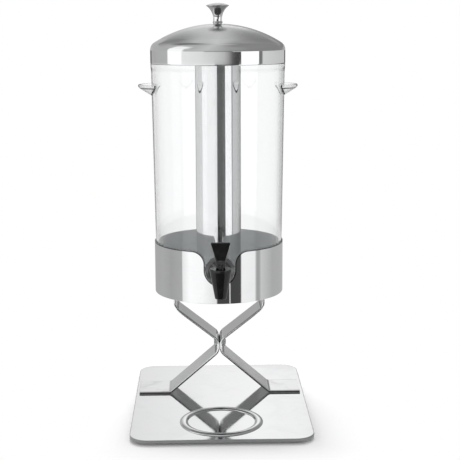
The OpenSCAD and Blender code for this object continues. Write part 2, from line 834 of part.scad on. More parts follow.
base_plate();
base_feet();
glass_ring();
left_leg();
right_leg();
tab_screws();
cross_bolt();
cross_nut();
holder_band();
holder_floor();
holder_screws();
holder_nuts();
holder_pad();
tank();
rim_seal();
ice_tube();
ice_tube_seal();
ice_tube_washer();
ice_tube_nut();
tap_body();
tap_collar();
tap_outer_gasket();
tap_inner_gasket();
tap_nut();
tap_bonnet();
tap_spring();
tap_stem();
seat_cup();
lever_pin();
tap_lever();
lid_shell();
lid_knob();
knob_screw();
knob_washer();
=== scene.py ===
"""Looks of the juice dispenser: polished steel stand and lid, clear tank, ice tube and black tap.

Sizes are in millimetres, as in the part's source, and become metres when a mesh is made.
"""

import json
import math

import bmesh
import bpy
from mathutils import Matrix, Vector


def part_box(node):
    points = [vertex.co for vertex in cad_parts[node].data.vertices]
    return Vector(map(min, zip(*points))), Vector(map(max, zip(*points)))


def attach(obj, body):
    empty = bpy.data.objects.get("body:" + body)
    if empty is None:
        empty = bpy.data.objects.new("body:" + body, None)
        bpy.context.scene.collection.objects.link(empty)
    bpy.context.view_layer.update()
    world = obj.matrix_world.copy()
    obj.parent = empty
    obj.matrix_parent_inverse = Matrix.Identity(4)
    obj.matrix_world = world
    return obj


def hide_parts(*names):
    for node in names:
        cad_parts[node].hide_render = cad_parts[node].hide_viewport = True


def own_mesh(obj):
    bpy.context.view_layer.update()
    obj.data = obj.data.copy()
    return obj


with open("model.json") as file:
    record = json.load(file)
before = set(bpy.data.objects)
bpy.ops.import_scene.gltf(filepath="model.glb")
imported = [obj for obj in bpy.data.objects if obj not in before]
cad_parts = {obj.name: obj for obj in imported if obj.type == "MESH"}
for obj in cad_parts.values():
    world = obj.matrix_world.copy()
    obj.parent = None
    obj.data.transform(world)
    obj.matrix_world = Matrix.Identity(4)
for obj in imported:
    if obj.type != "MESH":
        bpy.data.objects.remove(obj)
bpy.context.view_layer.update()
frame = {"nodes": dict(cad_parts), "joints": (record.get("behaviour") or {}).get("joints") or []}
nodes = frame["nodes"]

MM = 0.001
X, Y, Z = range(3)


def lowest(node, axis):
    """Lowest place of a solid along an axis, in millimetres."""
    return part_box(node)[0][axis] / MM


def highest(node, axis):
    """Highest place of a solid along an axis, in millimetres."""
    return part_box(node)[1][axis] / MM


def heights(node):
    """Lowest and highest place of a solid, to a micron."""
    return round(lowest(node, Z), 3), round(highest(node, Z), 3)


def middle(node, axis):
    """Middle of a solid along an axis, in millimetres."""
    return (lowest(node, axis) + highest(node, axis)) / 2


# Places of the main pieces, taken from the solids
TANK_Y = middle("ice_tube", Y)
SPOUT_Y = middle("tap_bonnet", Y)
PLATE_Z, DECK_Z = lowest("base_plate", Z), highest("base_plate", Z)
PLATE_W, PLATE_D = 2 * highest("base_plate", X), 2 * highest("base_plate", Y)
HOLDER_Z, HOLDER_TOP_Z = lowest("holder_band", Z), highest("holder_band", Z)
HOLDER_R = highest("holder_band", X)
TANK_Z, NECK_TOP_Z = lowest("tank", Z), highest("tank", Z)
TUBE_Z, TUBE_TOP_Z = highest("ice_tube_seal", Z), highest("ice_tube", Z)
TUBE_R = highest("ice_tube", X)
LID_Z, KNOB_Z = lowest("lid_shell", Z), lowest("lid_knob", Z)
LID_R = highest("lid_shell", X)
KNOB_H, KNOB_R = highest("lid_knob", Z) - KNOB_Z, highest("lid_knob", X)
RING_R, RING_H = highest("glass_ring", X), highest("glass_ring", Z) - DECK_Z
TAP_Z, PIN_Z = middle("tap_collar", Z), middle("lever_pin", Z)
COLLAR_R = highest("tap_collar", X)
COLLAR_BACK, COLLAR_FRONT = TANK_Y - highest("tap_collar", Y), TANK_Y - lowest("tap_collar", Y)
SHANK_END = TANK_Y - highest("tap_body", Y)
BOSS_INNER, BOSS_OUTER = TANK_Y - lowest("tap_inner_gasket", Y), TANK_Y - highest("tap_outer_gasket", Y)

# Sizes that shape the tank and its lid
LID_OUT, BEAD_OUT, TANK_DRAFT = 0.1, 0.6, 3.8
NECK_H, NECK_GAP, BEAD_H, BEAD_EASE = 12.0, 0.6, 9.0, 5.0
TANK_WALL, TANK_FLOOR_T, TUBE_SEAL_T = 3.0, 4.0, 1.5
SHEET = 0.8
BEAD_R = LID_R - LID_OUT
TANK_R_TOP = BEAD_R - BEAD_OUT
TANK_R_BASE = TANK_R_TOP - TANK_DRAFT
LID_SEAT_Z = NECK_TOP_Z - NECK_H
BEAD_Z = LID_SEAT_Z - BEAD_H
TANK_FLOOR_Z = TUBE_Z - TUBE_SEAL_T
TANK_FLOOR_UNDER_Z = TANK_FLOOR_Z - TANK_FLOOR_T

# Sizes of the stand
PLATE_CORNER, PLATE_EASE, EDGE_SLOPE = 22.0, 0.7, 0.6
FOOT_INSET, FOOT_R, FOOT_TAPER = 24.0, 9.0, 1.0
FOOT_DISH_R, FOOT_DISH, FOOT_DISH_SLOPE = 4.5, 0.6, 0.7
RING_HALF = 5.0
STRIP_T, STRIP_W, STRIP_EASE, CUT_EASE = 3.0, 45.0, 1.1, 0.35
TAB_CORNER, SHOULDER_X, SHOULDER_DROP, FLANGE_END = 64.0, 57.0, 20.5, 28.0
CROSS_RISE, CROSS_HALF = 63.3, 7.5
TAB_BEND, CROSS_BEND, SHOULDER_BEND, FLANGE_BEND = 8.0, 12.5, 16.0, 8.0
BOLT_R, BOLT_FLATS, BOLT_HEAD_H, BOLT_NUT_H, BOLT_TAIL = 3.0, 10.0, 4.0, 5.0, 0.6
HOLDER_T, NOTCH_HALF, NOTCH_FLARE = 1.0, 19.0, 16.0
SCREW_GAP = 0.15

# Sizes of the tap
SPOUT_Z, BARREL_TOP_Z = heights("tap_body")
BONNET_Z, BONNET_TOP_Z = heights("tap_bonnet")
BARREL_R, SPOUT_R, SPOUT_BORE_R, CHAMBER_R = round(highest("tap_bonnet", X), 3), 6.8, 4.5, 7.6
CHAMBER_DROP = 9.0
SHANK_R, SHANK_BORE_R, NECK_TUBE_R = 8.0, 5.0, 9.0
SHANK_HOLE_R = SHANK_R + SCREW_GAP
PAST = 5.0
TAP_NUT_FLATS, TAP_NUT_H, TAP_NUT_PLACE = 24.0, 7.0, 3.0


def tank_radius(z):
    """Outer radius of the tapered tank wall at a height."""
    return TANK_R_BASE + (TANK_R_TOP - TANK_R_BASE) * (z - TANK_Z) / (BEAD_Z - TANK_Z)


# Outlines

def arc(centre, radius, start, end, steps):
    """Points on an arc, with its angles in degrees."""
    angles = [math.radians(start + (end - start) * i / steps) for i in range(steps + 1)]
    return [(centre[0] + radius * math.cos(a), centre[1] + radius * math.sin(a)) for a in angles]


def swept(centre, first, last, steps):
    """Points on the arc from one spoke of a centre to another."""
    turn = -first.angle_signed(last)
    points = []
    for k in range(steps + 1):
        a = turn * k / steps
        points.append(centre + Vector((first.x * math.cos(a) - first.y * math.sin(a),
                                       first.x * math.sin(a) + first.y * math.cos(a))))
    return points


ROOM_SHARE = 0.48


def eased(corners, closed=True, steps=5, hold=0.6):
    """Rounds each corner (x, y, ease), and adds points that keep the flats beside it flat."""
    points = []
    count = len(corners)
    for i, corner in enumerate(corners):
        here = Vector(corner[:2])
        ease = corner[2] if len(corner) > 2 else 0
        if ease <= 0 or (not closed and i in (0, count - 1)):
            points.append(tuple(here))
            continue
        back = Vector(corners[i - 1][:2]) - here
        on = Vector(corners[(i + 1) % count][:2]) - here
        half = back.angle(on) / 2
        room = ROOM_SHARE * min(back.length, on.length)
        run = min(ease / math.tan(half), room)
        radius = run * math.tan(half)
        back_unit, on_unit = back.normalized(), on.normalized()
        centre = here + (back_unit + on_unit).normalized() * radius / math.sin(half)
        if run + hold < back.length / 2:
            points.append(tuple(here + back_unit * (run + hold)))
        bend = swept(centre, here + back_unit * run - centre, here + on_unit * run - centre, steps)
        points += [tuple(point) for point in bend]
        if run + hold < on.length / 2:
            points.append(tuple(here + on_unit * (run + hold)))
    return points


def bent_path(corners, radii, steps=10, hold=2.0):
    """Points and left-hand normals along a path with rounded bends."""
    points = [Vector(corners[0])]
    for i, radius in enumerate(radii, start=1):
        here = Vector(corners[i])
        back = (Vector(corners[i - 1]) - here).normalized()
        on = (Vector(corners[i + 1]) - here).normalized()
        half = back.angle(on) / 2
        run = radius / math.tan(half)
        centre = here + (back + on).normalized() * radius / math.sin(half)
        points.append(here + back * (run + hold))
        points += swept(centre, here + back * run - centre, here + on * run - centre, steps)
        points.append(here + on * (run + hold))
    points.append(Vector(corners[-1]))
    steps_along = []
    for i, point in enumerate(points):
        ahead = points[min(i + 1, len(points) - 1)]
        behind = points[max(i - 1, 0)]
        along = (ahead - behind).normalized()
        steps_along.append((point, Vector((-along.y, along.x))))
    return steps_along


# Meshes

SHARP = 38.0


def made(name, corners, faces, sharp=SHARP):
    """An object from corners in millimetres, shaded smooth up to a sharp angle in degrees."""
    mesh = bpy.data.meshes.new(name)
    mesh.from_pydata([tuple(c * MM for c in corner) for corner in corners], [], faces)
    tidy = bmesh.new()
    tidy.from_mesh(mesh)
    bmesh.ops.remove_doubles(tidy, verts=tidy.verts, dist=0.002 * MM)
    bmesh.ops.recalc_face_normals(tidy, faces=tidy.faces)
    tidy.to_mesh(mesh)
    tidy.free()
    smooth(mesh, sharp)
    piece = bpy.data.objects.new(name, mesh)
    bpy.context.scene.collection.objects.link(piece)
    return piece


def smooth(mesh, sharp):
    """Smooth shading with sharp edges over an angle in degrees."""
    mesh.polygons.foreach_set("use_smooth", [True] * len(mesh.polygons))
    mesh.set_sharp_from_angle(angle=math.radians(sharp))


def upright(x, y):
    """Places a turned form upright at a point."""
    return lambda r, a, z: (x + r * math.cos(a), y + r * math.sin(a), z)


def along_tap(distance):
    """Places a turned form along the tap's shank, pointing away from the tank."""
    return lambda r, a, z: (r * math.cos(a), TANK_Y - distance - z, TAP_Z + r * math.sin(a))


def joined(rings, steps, closed):
    """Faces between rings of corners; a ring of one corner is a tip."""
    pairs = list(zip(rings, rings[1:]))
    if closed:
        pairs.append((rings[-1], rings[0]))
    faces = []
    for low, high in pairs:
        if len(low) == 1 and len(high) == 1:
            continue
        for i in range(steps):
            j = (i + 1) % steps
            face = [low[i % len(low)], low[j % len(low)], high[j % len(high)], high[i % len(high)]]
            faces.append(list(dict.fromkeys(face)))
    return faces


def skin(count, steps):
    """Faces of a tube of equal rings, closed by a flat at each end."""
    rings = [list(range(k * steps, (k + 1) * steps)) for k in range(count)]
    return [rings[0], rings[-1]] + joined(rings, steps, False)


def turned(name, profile, place, steps=128, closed=True, sharp=SHARP):
    """A form turned on an axis from a profile of (radius, height) points."""
    corners, rings = [], []
    for r, z in profile:
        count = 1 if r < 1e-6 else steps
        rings.append(list(range(len(corners), len(corners) + count)))
        corners += [place(r, 2 * math.pi * i / steps, z) for i in range(count)]
    return made(name, corners, joined(rings, steps, closed), sharp)


def rod(name, radius, start, end, place, steps):
    """A plain rod that is joined to a piece or cuts a hole in it."""
    return turned(name, [(0, start), (radius, start), (radius, end), (0, end)], place, steps, closed=False)


def drawn_out(name, outline, place, depth):
    """A form with one flat outline, drawn out to a depth."""
    corners = [place(x, y, z) for z in (0, depth) for x, y in outline]
    return made(name, corners, skin(2, len(outline)))


def settled(piece):
    """The piece with its modifiers worked into its mesh."""
    graph = bpy.context.evaluated_depsgraph_get()
    mesh = bpy.data.meshes.new_from_object(piece.evaluated_get(graph))
    piece.modifiers.clear()
    piece.data = mesh
    return piece


def worked(piece, tool, how):
    """Joins a tool to a piece, or cuts it away, and drops the tool."""
    step = piece.modifiers.new(how.lower(), "BOOLEAN")
    step.operation = how
    step.solver = "EXACT"
    step.object = tool
    settled(piece)
    bpy.data.objects.remove(tool)
    tidy = bmesh.new()
    tidy.from_mesh(piece.data)
    bmesh.ops.dissolve_degenerate(tidy, dist=0.0004 * MM, edges=tidy.edges)
    tidy.to_mesh(piece.data)
    tidy.free()
    return piece


def moulded(piece, grain, passes, sharp=60.0):
    """Rounds every edge of a piece a little, as a mould does."""
    step = piece.modifiers.new("mould", "REMESH")
    step.mode = "VOXEL"
    step.voxel_size = grain * MM
    step.use_smooth_shade = True
    soft = piece.modifiers.new("soften", "SMOOTH")
    soft.factor = 0.5
    soft.iterations = passes
    settled(piece)
    smooth(piece.data, sharp)
    return piece


def flat_normals(piece):
    """Keeps large faces flat beside narrow rounded edges."""
    step = piece.modifiers.new("flat_faces", "WEIGHTED_NORMAL")
    step.keep_sharp = True
    step.weight = 80
    return piece


def rounded_plate(name, width, depth, corner, low, high, ease):
    """A plate with round corners and eased edges."""
    rim, hold, corner_steps, ease_steps = 6.0, 0.5, 16, 4

    def ring(inset, z):
        points = []
        for cx, cy, start in ((1, 1, 0), (-1, 1, 90), (-1, -1, 180), (1, -1, 270)):
            centre = (cx * (width / 2 - corner), cy * (depth / 2 - corner))
            points += arc(centre, corner - inset, start, start + 90, corner_steps)
        return [(x, y, z) for x, y in points]

    turns = [math.pi / 2 * k / ease_steps for k in range(ease_steps + 1)]
    levels = [(rim, low), (ease + hold, low)]
    levels += [(ease - ease * math.sin(a), low + ease - ease * math.cos(a)) for a in turns]
    levels += [(ease - ease * math.cos(a), high - ease + ease * math.sin(a)) for a in turns]
    levels += [(ease + hold, high), (rim, high)]
    rings = [ring(inset, z) for inset, z in levels]
    return made(name, [point for points in rings for point in points], skin(len(rings), len(rings[0])))


def hex_profile(flats, height, bore, both_ends, place, name):
    """A hexagon head or nut whose corners are turned off at 30 degrees."""
    steps, bore_ease, dish = 96, 0.4, 0.18
    crown = flats / 2 * 0.96
    dish_rim, dish_floor = crown * 0.82, crown * 0.78
    corners = []

    def side(a):
        return flats / 2 / math.cos((a + math.pi / 6) % (math.pi / 3) - math.pi / 6)

    def drop(a):
        return max(side(a) - crown, 0) * math.tan(math.radians(30))

    def ring(*size):
        start = len(corners)
        for i in range(steps):
            a = 2 * math.pi * i / steps
            r, z = (value(a) if callable(value) else value for value in size)
            corners.append(place(r, a, z))
        return list(range(start, start + steps))

    def centre(z):
        corners.append(place(0, 0, z))
        return [len(corners) - 1]

    rings = [ring(bore, bore_ease), ring(bore + bore_ease, 0)] if bore else [centre(0)]
    rings += [ring(crown, 0), ring(side, drop)] if both_ends else [ring(side, 0)]
    rings += [ring(side, lambda a: height - drop(a)), ring(crown, height)]
    if bore:
        rings += [ring(bore + bore_ease, height), ring(bore, height - bore_ease)]
    else:
        rings += [ring(dish_rim, height), ring(dish_floor, height - dish), centre(height - dish)]
    return made(name, corners, joined(rings, steps, bool(bore)), 25.0)


def threaded_rod(name, radius, start, end, place, pitch, depth):
    """A rod with a real screw thread along it."""
    steps, rows_per_turn = 48, 8
    rows = int((end - start) / pitch * rows_per_turn)
    corners = []
    for k in range(rows + 1):
        z = start + (end - start) * k / rows
        for i in range(steps):
            wave = (z / pitch - i / steps) % 1.0
            corners.append(place(radius - depth * abs(2 * wave - 1), 2 * math.pi * i / steps, z))
    return made(name, corners, skin(rows + 1, steps), 50.0)


# Shader building

def add(tree, kind, inputs=None, **settings):
    """A node with its settings and inputs; an input may be a value or another node's socket."""
    node = tree.nodes.new(kind)
    for key, value in settings.items():
        setattr(node, key, value)
    for key, value in (inputs or {}).items():
        socket = node.inputs[key]
        if isinstance(value, bpy.types.NodeSocket):
            tree.links.new(value, socket)
        else:
            socket.default_value = value
    return node


def sums(tree, how, first, second=0.0, third=0.0, clamp=False):
    """The result of one sum."""
    return add(tree, "ShaderNodeMath", {0: first, 1: second, 2: third}, operation=how, use_clamp=clamp).outputs[0]


def spread(tree, value, low, high, to_low, to_high):
    """A value moved from one range to another and held inside it."""
    node = add(tree, "ShaderNodeMapRange", {"Value": value, "From Min": low, "From Max": high,
                                             "To Min": to_low, "To Max": to_high})
    return node.outputs["Result"]


def noise(tree, place, scale, detail, roughness=0.5, distortion=0.0):
    """A noise value over a place."""
    return add(tree, "ShaderNodeTexNoise", {"Vector": place, "Scale": scale, "Detail": detail,
                                            "Roughness": roughness, "Distortion": distortion}).outputs[0]


def effect(name, inputs, outputs, result="NodeSocketFloat"):
    """An empty shader group with named float or vector sockets."""
    tree = bpy.data.node_groups.new(name, "ShaderNodeTree")
    for title, value in inputs.items():
        kind = "NodeSocketVector" if isinstance(value, tuple) else "NodeSocketFloat"
        socket = tree.interface.new_socket(title, in_out="INPUT", socket_type=kind)
        socket.default_value = value
    for title in outputs:
        tree.interface.new_socket(title, in_out="OUTPUT", socket_type=result)
    return tree, tree.nodes.new("NodeGroupInput"), tree.nodes.new("NodeGroupOutput")


def place_effect(tree, group, **inputs):
    """The results of a group placed in a material with its own values."""
    named = {key.replace("_", " ").title(): value for key, value in inputs.items()}
    return add(tree, "ShaderNodeGroup", named, node_tree=group).outputs


def make_polish_lines():
    """Fine lines that polishing leaves, stretched along the way the wheel ran."""
    tree, start, end = effect("polish_lines", {"Place": (0, 0, 0), "Stretch": (1, 1, 1)},
                              ["Fine", "Broad"])
    stretched = add(tree, "ShaderNodeVectorMath", {0: start.outputs["Place"], 1: start.outputs["Stretch"]},
                    operation="MULTIPLY").outputs[0]
    fine, broad = noise(tree, stretched, 1.0, 4.0, 0.65), noise(tree, stretched, 0.22, 2.0)
    tree.links.new(spread(tree, fine, 0.3, 0.7, 0.0, 1.0), end.inputs["Fine"])
    tree.links.new(spread(tree, broad, 0.3, 0.7, 0.0, 1.0), end.inputs["Broad"])
    return tree


def make_turned_place():
    """Turns a place into radius, angle and height about an upright axis, so lines run round it."""
    tree, start, end = effect("round_the_axis", {"Place": (0, 0, 0), "Axis Y": 0.0}, ["Round"], "NodeSocketVector")
    apart = add(tree, "ShaderNodeSeparateXYZ", {0: start.outputs["Place"]})
    y = sums(tree, "SUBTRACT", apart.outputs[1], start.outputs["Axis Y"])
    across = add(tree, "ShaderNodeCombineXYZ", {0: apart.outputs[0], 1: y})
    radius = add(tree, "ShaderNodeVectorMath", {0: across.outputs[0]}, operation="LENGTH")
    angle = sums(tree, "ARCTAN2", apart.outputs[0], y)
    together = add(tree, "ShaderNodeCombineXYZ", {0: radius.outputs["Value"], 1: angle, 2: apart.outputs[2]})
    tree.links.new(together.outputs[0], end.inputs["Round"])
    return tree


def make_handling():
    """Soft smears and small specks that handling and dust leave."""
    tree, start, end = effect("handling_marks", {"Place": (0, 0, 0), "Smear Size": 24.0, "Speck Size": 420.0},
                              ["Smears", "Specks"])
    smear = noise(tree, start.outputs["Place"], start.outputs["Smear Size"], 5.0, 0.6, 0.8)
    speck = add(tree, "ShaderNodeTexVoronoi", {"Vector": start.outputs["Place"],
                                               "Scale": start.outputs["Speck Size"], "Randomness": 1.0})
    tree.links.new(spread(tree, smear, 0.48, 0.72, 0.0, 1.0), end.inputs["Smears"])
    tree.links.new(spread(tree, speck.outputs["Distance"], 0.06, 0.02, 0.0, 1.0), end.inputs["Specks"])
    return tree


def make_worn_edges():
    """Where edges stand out and get rubbed."""
    tree, start, end = effect("worn_edges", {"Place": (0, 0, 0), "Start": 0.53, "Full": 0.62}, ["Worn"])
    shape = tree.nodes.new("ShaderNodeNewGeometry")
    broken = spread(tree, noise(tree, start.outputs["Place"], 350.0, 3.0), 0.3, 0.65, 0.3, 1.0)
    edge = spread(tree, shape.outputs["Pointiness"], start.outputs["Start"], start.outputs["Full"], 0.0, 1.0)
    tree.links.new(sums(tree, "MULTIPLY", edge, broken), end.inputs["Worn"])
    return tree


def make_mould_grain():
    """The fine texture and slow waves of a moulded surface."""
    tree, start, end = effect("mould_grain", {"Place": (0, 0, 0), "Grain Size": 1800.0, "Wave Size": 30.0},
                              ["Grain", "Waves"])
    place = start.outputs["Place"]
    tree.links.new(noise(tree, place, start.outputs["Grain Size"], 3.0, 0.7), end.inputs["Grain"])
    tree.links.new(noise(tree, place, start.outputs["Wave Size"], 1.0), end.inputs["Waves"])
    return tree


POLISH_LINES = make_polish_lines()
ROUND_THE_AXIS = make_turned_place()
HANDLING_MARKS = make_handling()
WORN_EDGES = make_worn_edges()
MOULD_GRAIN = make_mould_grain()


def blank_finish(name, values=None):
    """A material with a Principled shader, its plain values and object coordinates."""
    finish = bpy.data.materials.new(name)
    finish.use_nodes = True
    tree = finish.node_tree
    shader = tree.nodes["Principled BSDF"]
    for key, value in (values or {}).items():
        shader.inputs[key].default_value = value
    place = add(tree, "ShaderNodeTexCoord").outputs["Object"]
    return finish, tree, shader, place


def blend(tree, first, first_share, second, second_share):
    """Two masks in one, each with its share."""
    return sums(tree, "MULTIPLY_ADD", first, first_share, sums(tree, "MULTIPLY", second, second_share), clamp=True)


def tint(tree, shader, mask, plain, marked):
    """Base colour that runs from plain to marked by a mask."""
    mix = add(tree, "ShaderNodeMix", {0: mask, 6: (*plain, 1), 7: (*marked, 1)}, data_type="RGBA")
    tree.links.new(mix.outputs[2], shader.inputs["Base Color"])


def roughen(tree, shader, value, *parts):
    """Roughness from a plain value and parts of (mask, share)."""
    for mask, share in parts:
        value = sums(tree, "MULTIPLY_ADD", mask, share, value)
    tree.links.new(value, shader.inputs["Roughness"])


def raise_surface(tree, shader, height, distance, strength):
    """Bump from a height value, with its depth in metres."""
    bump = add(tree, "ShaderNodeBump", {"Height": height, "Distance": distance, "Strength": strength})
    tree.links.new(bump.outputs[0], shader.inputs["Normal"])


def polished_steel(name, axis_y, stretch, colour, rough, relief):
    """Mirror-polished stainless sheet; axis_y set means the polish runs round that axis."""
    finish, tree, shader, place = blank_finish(name, {"Metallic": 1.0})
    way = place if axis_y is None else place_effect(tree, ROUND_THE_AXIS, place=place, axis_y=axis_y)["Round"]
    lines = place_effect(tree, POLISH_LINES, place=way, stretch=stretch)
    marks = place_effect(tree, HANDLING_MARKS, place=place, smear_size=22.0, speck_size=240.0)
    worn = place_effect(tree, WORN_EDGES, place=place, start=0.54, full=0.66)
    soiled = sums(tree, "MULTIPLY_ADD", lines["Broad"], 0.35, marks["Smears"], clamp=True)
    tint(tree, shader, sums(tree, "MULTIPLY", soiled, 0.5), colour, tuple(c * 0.93 for c in colour))
    roughen(tree, shader, rough, (lines["Fine"], rough * 0.6), (marks["Smears"], rough * 0.5),
            (worn["Worn"], 0.12), (marks["Specks"], 0.05))
    raise_surface(tree, shader, lines["Fine"], 0.00001, relief)
    return finish


def satin_steel(name, stretch, colour, rough, line_rough, metal=1.0):
    """Strip steel with a fine polish along its length; a dull inside is less of a mirror."""
    finish, tree, shader, place = blank_finish(name, {"Metallic": metal})
    lines = place_effect(tree, POLISH_LINES, place=place, stretch=stretch)
    marks = place_effect(tree, HANDLING_MARKS, place=place, smear_size=30.0, speck_size=300.0)
    worn = place_effect(tree, WORN_EDGES, place=place, start=0.53, full=0.62)
    tint(tree, shader, blend(tree, lines["Fine"], 0.6, marks["Smears"], 0.4), colour, tuple(c * 0.8 for c in colour))
    roughen(tree, shader, rough, (lines["Fine"], line_rough), (marks["Smears"], 0.06), (worn["Worn"], -0.5 * rough))
    raise_surface(tree, shader, lines["Fine"], 0.00001, 0.3)
    return finish


def machined_steel(name):
    """Plain fasteners: fine turning marks and smears that darken them, rubbed on the edges."""
    finish, tree, shader, place = blank_finish(name, {"Metallic": 1.0})
    lines = place_effect(tree, POLISH_LINES, place=place, stretch=(900.0, 900.0, 2600.0))
    worn = place_effect(tree, WORN_EDGES, place=place, start=0.52, full=0.6)
    marks = place_effect(tree, HANDLING_MARKS, place=place, smear_size=160.0, speck_size=900.0)
    tint(tree, shader, blend(tree, marks["Smears"], 0.5, lines["Fine"], 0.4), (0.62, 0.63, 0.64), (0.42, 0.42, 0.43))
    roughen(tree, shader, 0.24, (lines["Fine"], 0.14), (worn["Worn"], -0.1))
    raise_surface(tree, shader, lines["Fine"], 0.00003, 0.4)
    return finish


def clear_plastic(name):
    """Clear moulded polycarbonate with slow mould waves, faint smears and fine scratches."""
    finish, tree, shader, place = blank_finish(name, {"Transmission Weight": 1.0, "IOR": 1.58})
    grain = place_effect(tree, MOULD_GRAIN, place=place, grain_size=900.0, wave_size=26.0)
    marks = place_effect(tree, HANDLING_MARKS, place=place, smear_size=16.0, speck_size=320.0)
    way = place_effect(tree, ROUND_THE_AXIS, place=place, axis_y=TANK_Y * MM)["Round"]
    lines = place_effect(tree, POLISH_LINES, place=way, stretch=(500.0, 1.5, 500.0))
    tint(tree, shader, marks["Smears"], (0.992, 0.995, 0.996), (0.978, 0.985, 0.988))
    roughen(tree, shader, 0.008, (marks["Smears"], 0.02), (lines["Fine"], 0.012), (marks["Specks"], 0.1))
    raise_surface(tree, shader, grain["Waves"], 0.0001, 0.12)
    path = tree.nodes.new("ShaderNodeLightPath")
    lets_light_in = sums(tree, "MAXIMUM", path.outputs["Is Shadow Ray"], path.outputs["Is Diffuse Ray"])
    open_way = add(tree, "ShaderNodeBsdfTransparent", {"Color": (0.93, 0.94, 0.94, 1)})
    either = add(tree, "ShaderNodeMixShader", {0: lets_light_in, 1: shader.outputs[0], 2: open_way.outputs[0]})
    tree.links.new(either.outputs[0], tree.nodes["Material Output"].inputs["Surface"])
    return finish


def moulded_plastic(name, colour, worn_colour, rough, shine):
    """Dark moulded plastic with a soft gloss, fine grain and rubbed edges."""
    finish, tree, shader, place = blank_finish(name, {"Specular IOR Level": shine})
    grain = place_effect(tree, MOULD_GRAIN, place=place, grain_size=2600.0, wave_size=60.0)
    marks = place_effect(tree, HANDLING_MARKS, place=place, smear_size=90.0, speck_size=900.0)
    worn = place_effect(tree, WORN_EDGES, place=place, start=0.54, full=0.64)
    tint(tree, shader, blend(tree, worn["Worn"], 0.8, marks["Smears"], 0.25), colour, worn_colour)
    roughen(tree, shader, rough, (grain["Grain"], 0.16), (marks["Smears"], 0.08))
    raise_surface(tree, shader, grain["Grain"], 0.00003, 0.5)
    return finish


def rubber(name, colour, dusty):
    """Matte moulded rubber with a bloom of dust."""
    finish, tree, shader, place = blank_finish(name)
    grain = place_effect(tree, MOULD_GRAIN, place=place, grain_size=1500.0, wave_size=40.0)
    marks = place_effect(tree, HANDLING_MARKS, place=place, smear_size=60.0, speck_size=700.0)
    tint(tree, shader, blend(tree, marks["Specks"], 0.5, marks["Smears"], 0.6), colour, dusty)
    roughen(tree, shader, 0.6, (grain["Grain"], 0.25))
    raise_surface(tree, shader, grain["Grain"], 0.00006, 0.6)
    return finish


def milky_silicone(name):
    """Milky silicone that light passes into."""
    finish, tree, shader, place = blank_finish(name, {"Transmission Weight": 0.15, "IOR": 1.41})
    grain = place_effect(tree, MOULD_GRAIN, place=place, grain_size=1200.0, wave_size=50.0)
    tint(tree, shader, grain["Waves"], (0.92, 0.925, 0.925), (0.86, 0.87, 0.87))
    roughen(tree, shader, 0.35, (grain["Grain"], 0.2))
    raise_surface(tree, shader, grain["Grain"], 0.00004, 0.5)
    return finish


# The second tone is the dark colour of the narrow line along the holder band's upper rim and notch.
STEEL, RIM_LINE_DARK = (0.79, 0.795, 0.8), (0.1, 0.1, 0.102)
ROUND_POLISH = (2600.0, 2.5, 2600.0)
lid_polish = polished_steel("lid_polish", TANK_Y * MM, ROUND_POLISH, STEEL, 0.025, 0.04)
dome_polish = polished_steel("dome_polish", TANK_Y * MM, ROUND_POLISH, STEEL, 0.16, 0.04)
band_polish = polished_steel("band_polish", TANK_Y * MM, ROUND_POLISH, STEEL, 0.025, 0.03)
tube_polish = polished_steel("tube_polish", TANK_Y * MM, (1800.0, 160.0, 12.0), STEEL, 0.03, 0.03)
plate_polish = polished_steel("plate_polish", None, (40.0, 1900.0, 1900.0), (0.83, 0.835, 0.84), 0.05, 0.04)
ring_polish = polished_steel("ring_polish", SPOUT_Y * MM, ROUND_POLISH, STEEL, 0.04, 0.03)
knob_polish = polished_steel("knob_polish", TANK_Y * MM, ROUND_POLISH, STEEL, 0.025, 0.03)
# Satin steel on the plate's edges. Its dark colour is painted shade that stands in for the floor's shadow, which the
# edges mirror.
plate_edge_satin_painted_shade = satin_steel("plate_edge_satin_painted_shade", (200.0, 200.0, 2400.0), (0.3, 0.305, 0.31), 0.3, 0.1)
band_inside = satin_steel("band_inside_satin", (60.0, 60.0, 2400.0), (0.95, 0.955, 0.96), 0.16, 0.06, 0.3)
# Dark steel on the band's eased upper rim, much darker than the band itself.
band_rim_dark = satin_steel("band_rim_darkened", (200.0, 200.0, 2400.0), RIM_LINE_DARK, 0.3, 0.1)
leg_satin = satin_steel("leg_satin", (60.0, 2400.0, 60.0), (0.87, 0.875, 0.88), 0.07, 0.05)
floor_satin = satin_steel("holder_floor_satin", (60.0, 2000.0, 60.0), (0.62, 0.625, 0.63), 0.25, 0.1)
hardware = machined_steel("machined_hardware")
tank_clear = clear_plastic("tank_clear")
tap_black = moulded_plastic("tap_black", (0.006, 0.006, 0.0065), (0.03, 0.03, 0.031), 0.04, 0.7)
collar_grey = moulded_plastic("collar_grey", (0.09, 0.09, 0.093), (0.3, 0.3, 0.305), 0.08, 0.9)
stem_grey = moulded_plastic("stem_grey", (0.14, 0.14, 0.145), (0.24, 0.24, 0.245), 0.25, 0.5)
black_rubber = rubber("black_rubber", (0.02, 0.02, 0.02), (0.07, 0.068, 0.065))
silicone = milky_silicone("milky_silicone")


def fitted(piece, finish, body, slot, *stands_for):
    """Gives a piece its finish, its body and the solids it stands for."""
    piece.data.materials.clear()
    piece.data.materials.append(finish)
    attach(piece, body)
    if stands_for:
        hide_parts(*stands_for)
    return piece


# Stand

plate = rounded_plate("base_plate_polished", PLATE_W, PLATE_D, PLATE_CORNER, PLATE_Z, DECK_Z, PLATE_EASE)
fitted(plate, plate_polish, "stand", "polished_steel", "base_plate")
# The plate's steep edge faces take the satin steel with painted shade; the top stays polished.
plate.data.materials.append(plate_edge_satin_painted_shade)
for face in plate.data.polygons:
    face.material_index = 1 if abs(face.normal.z) < EDGE_SLOPE else 0

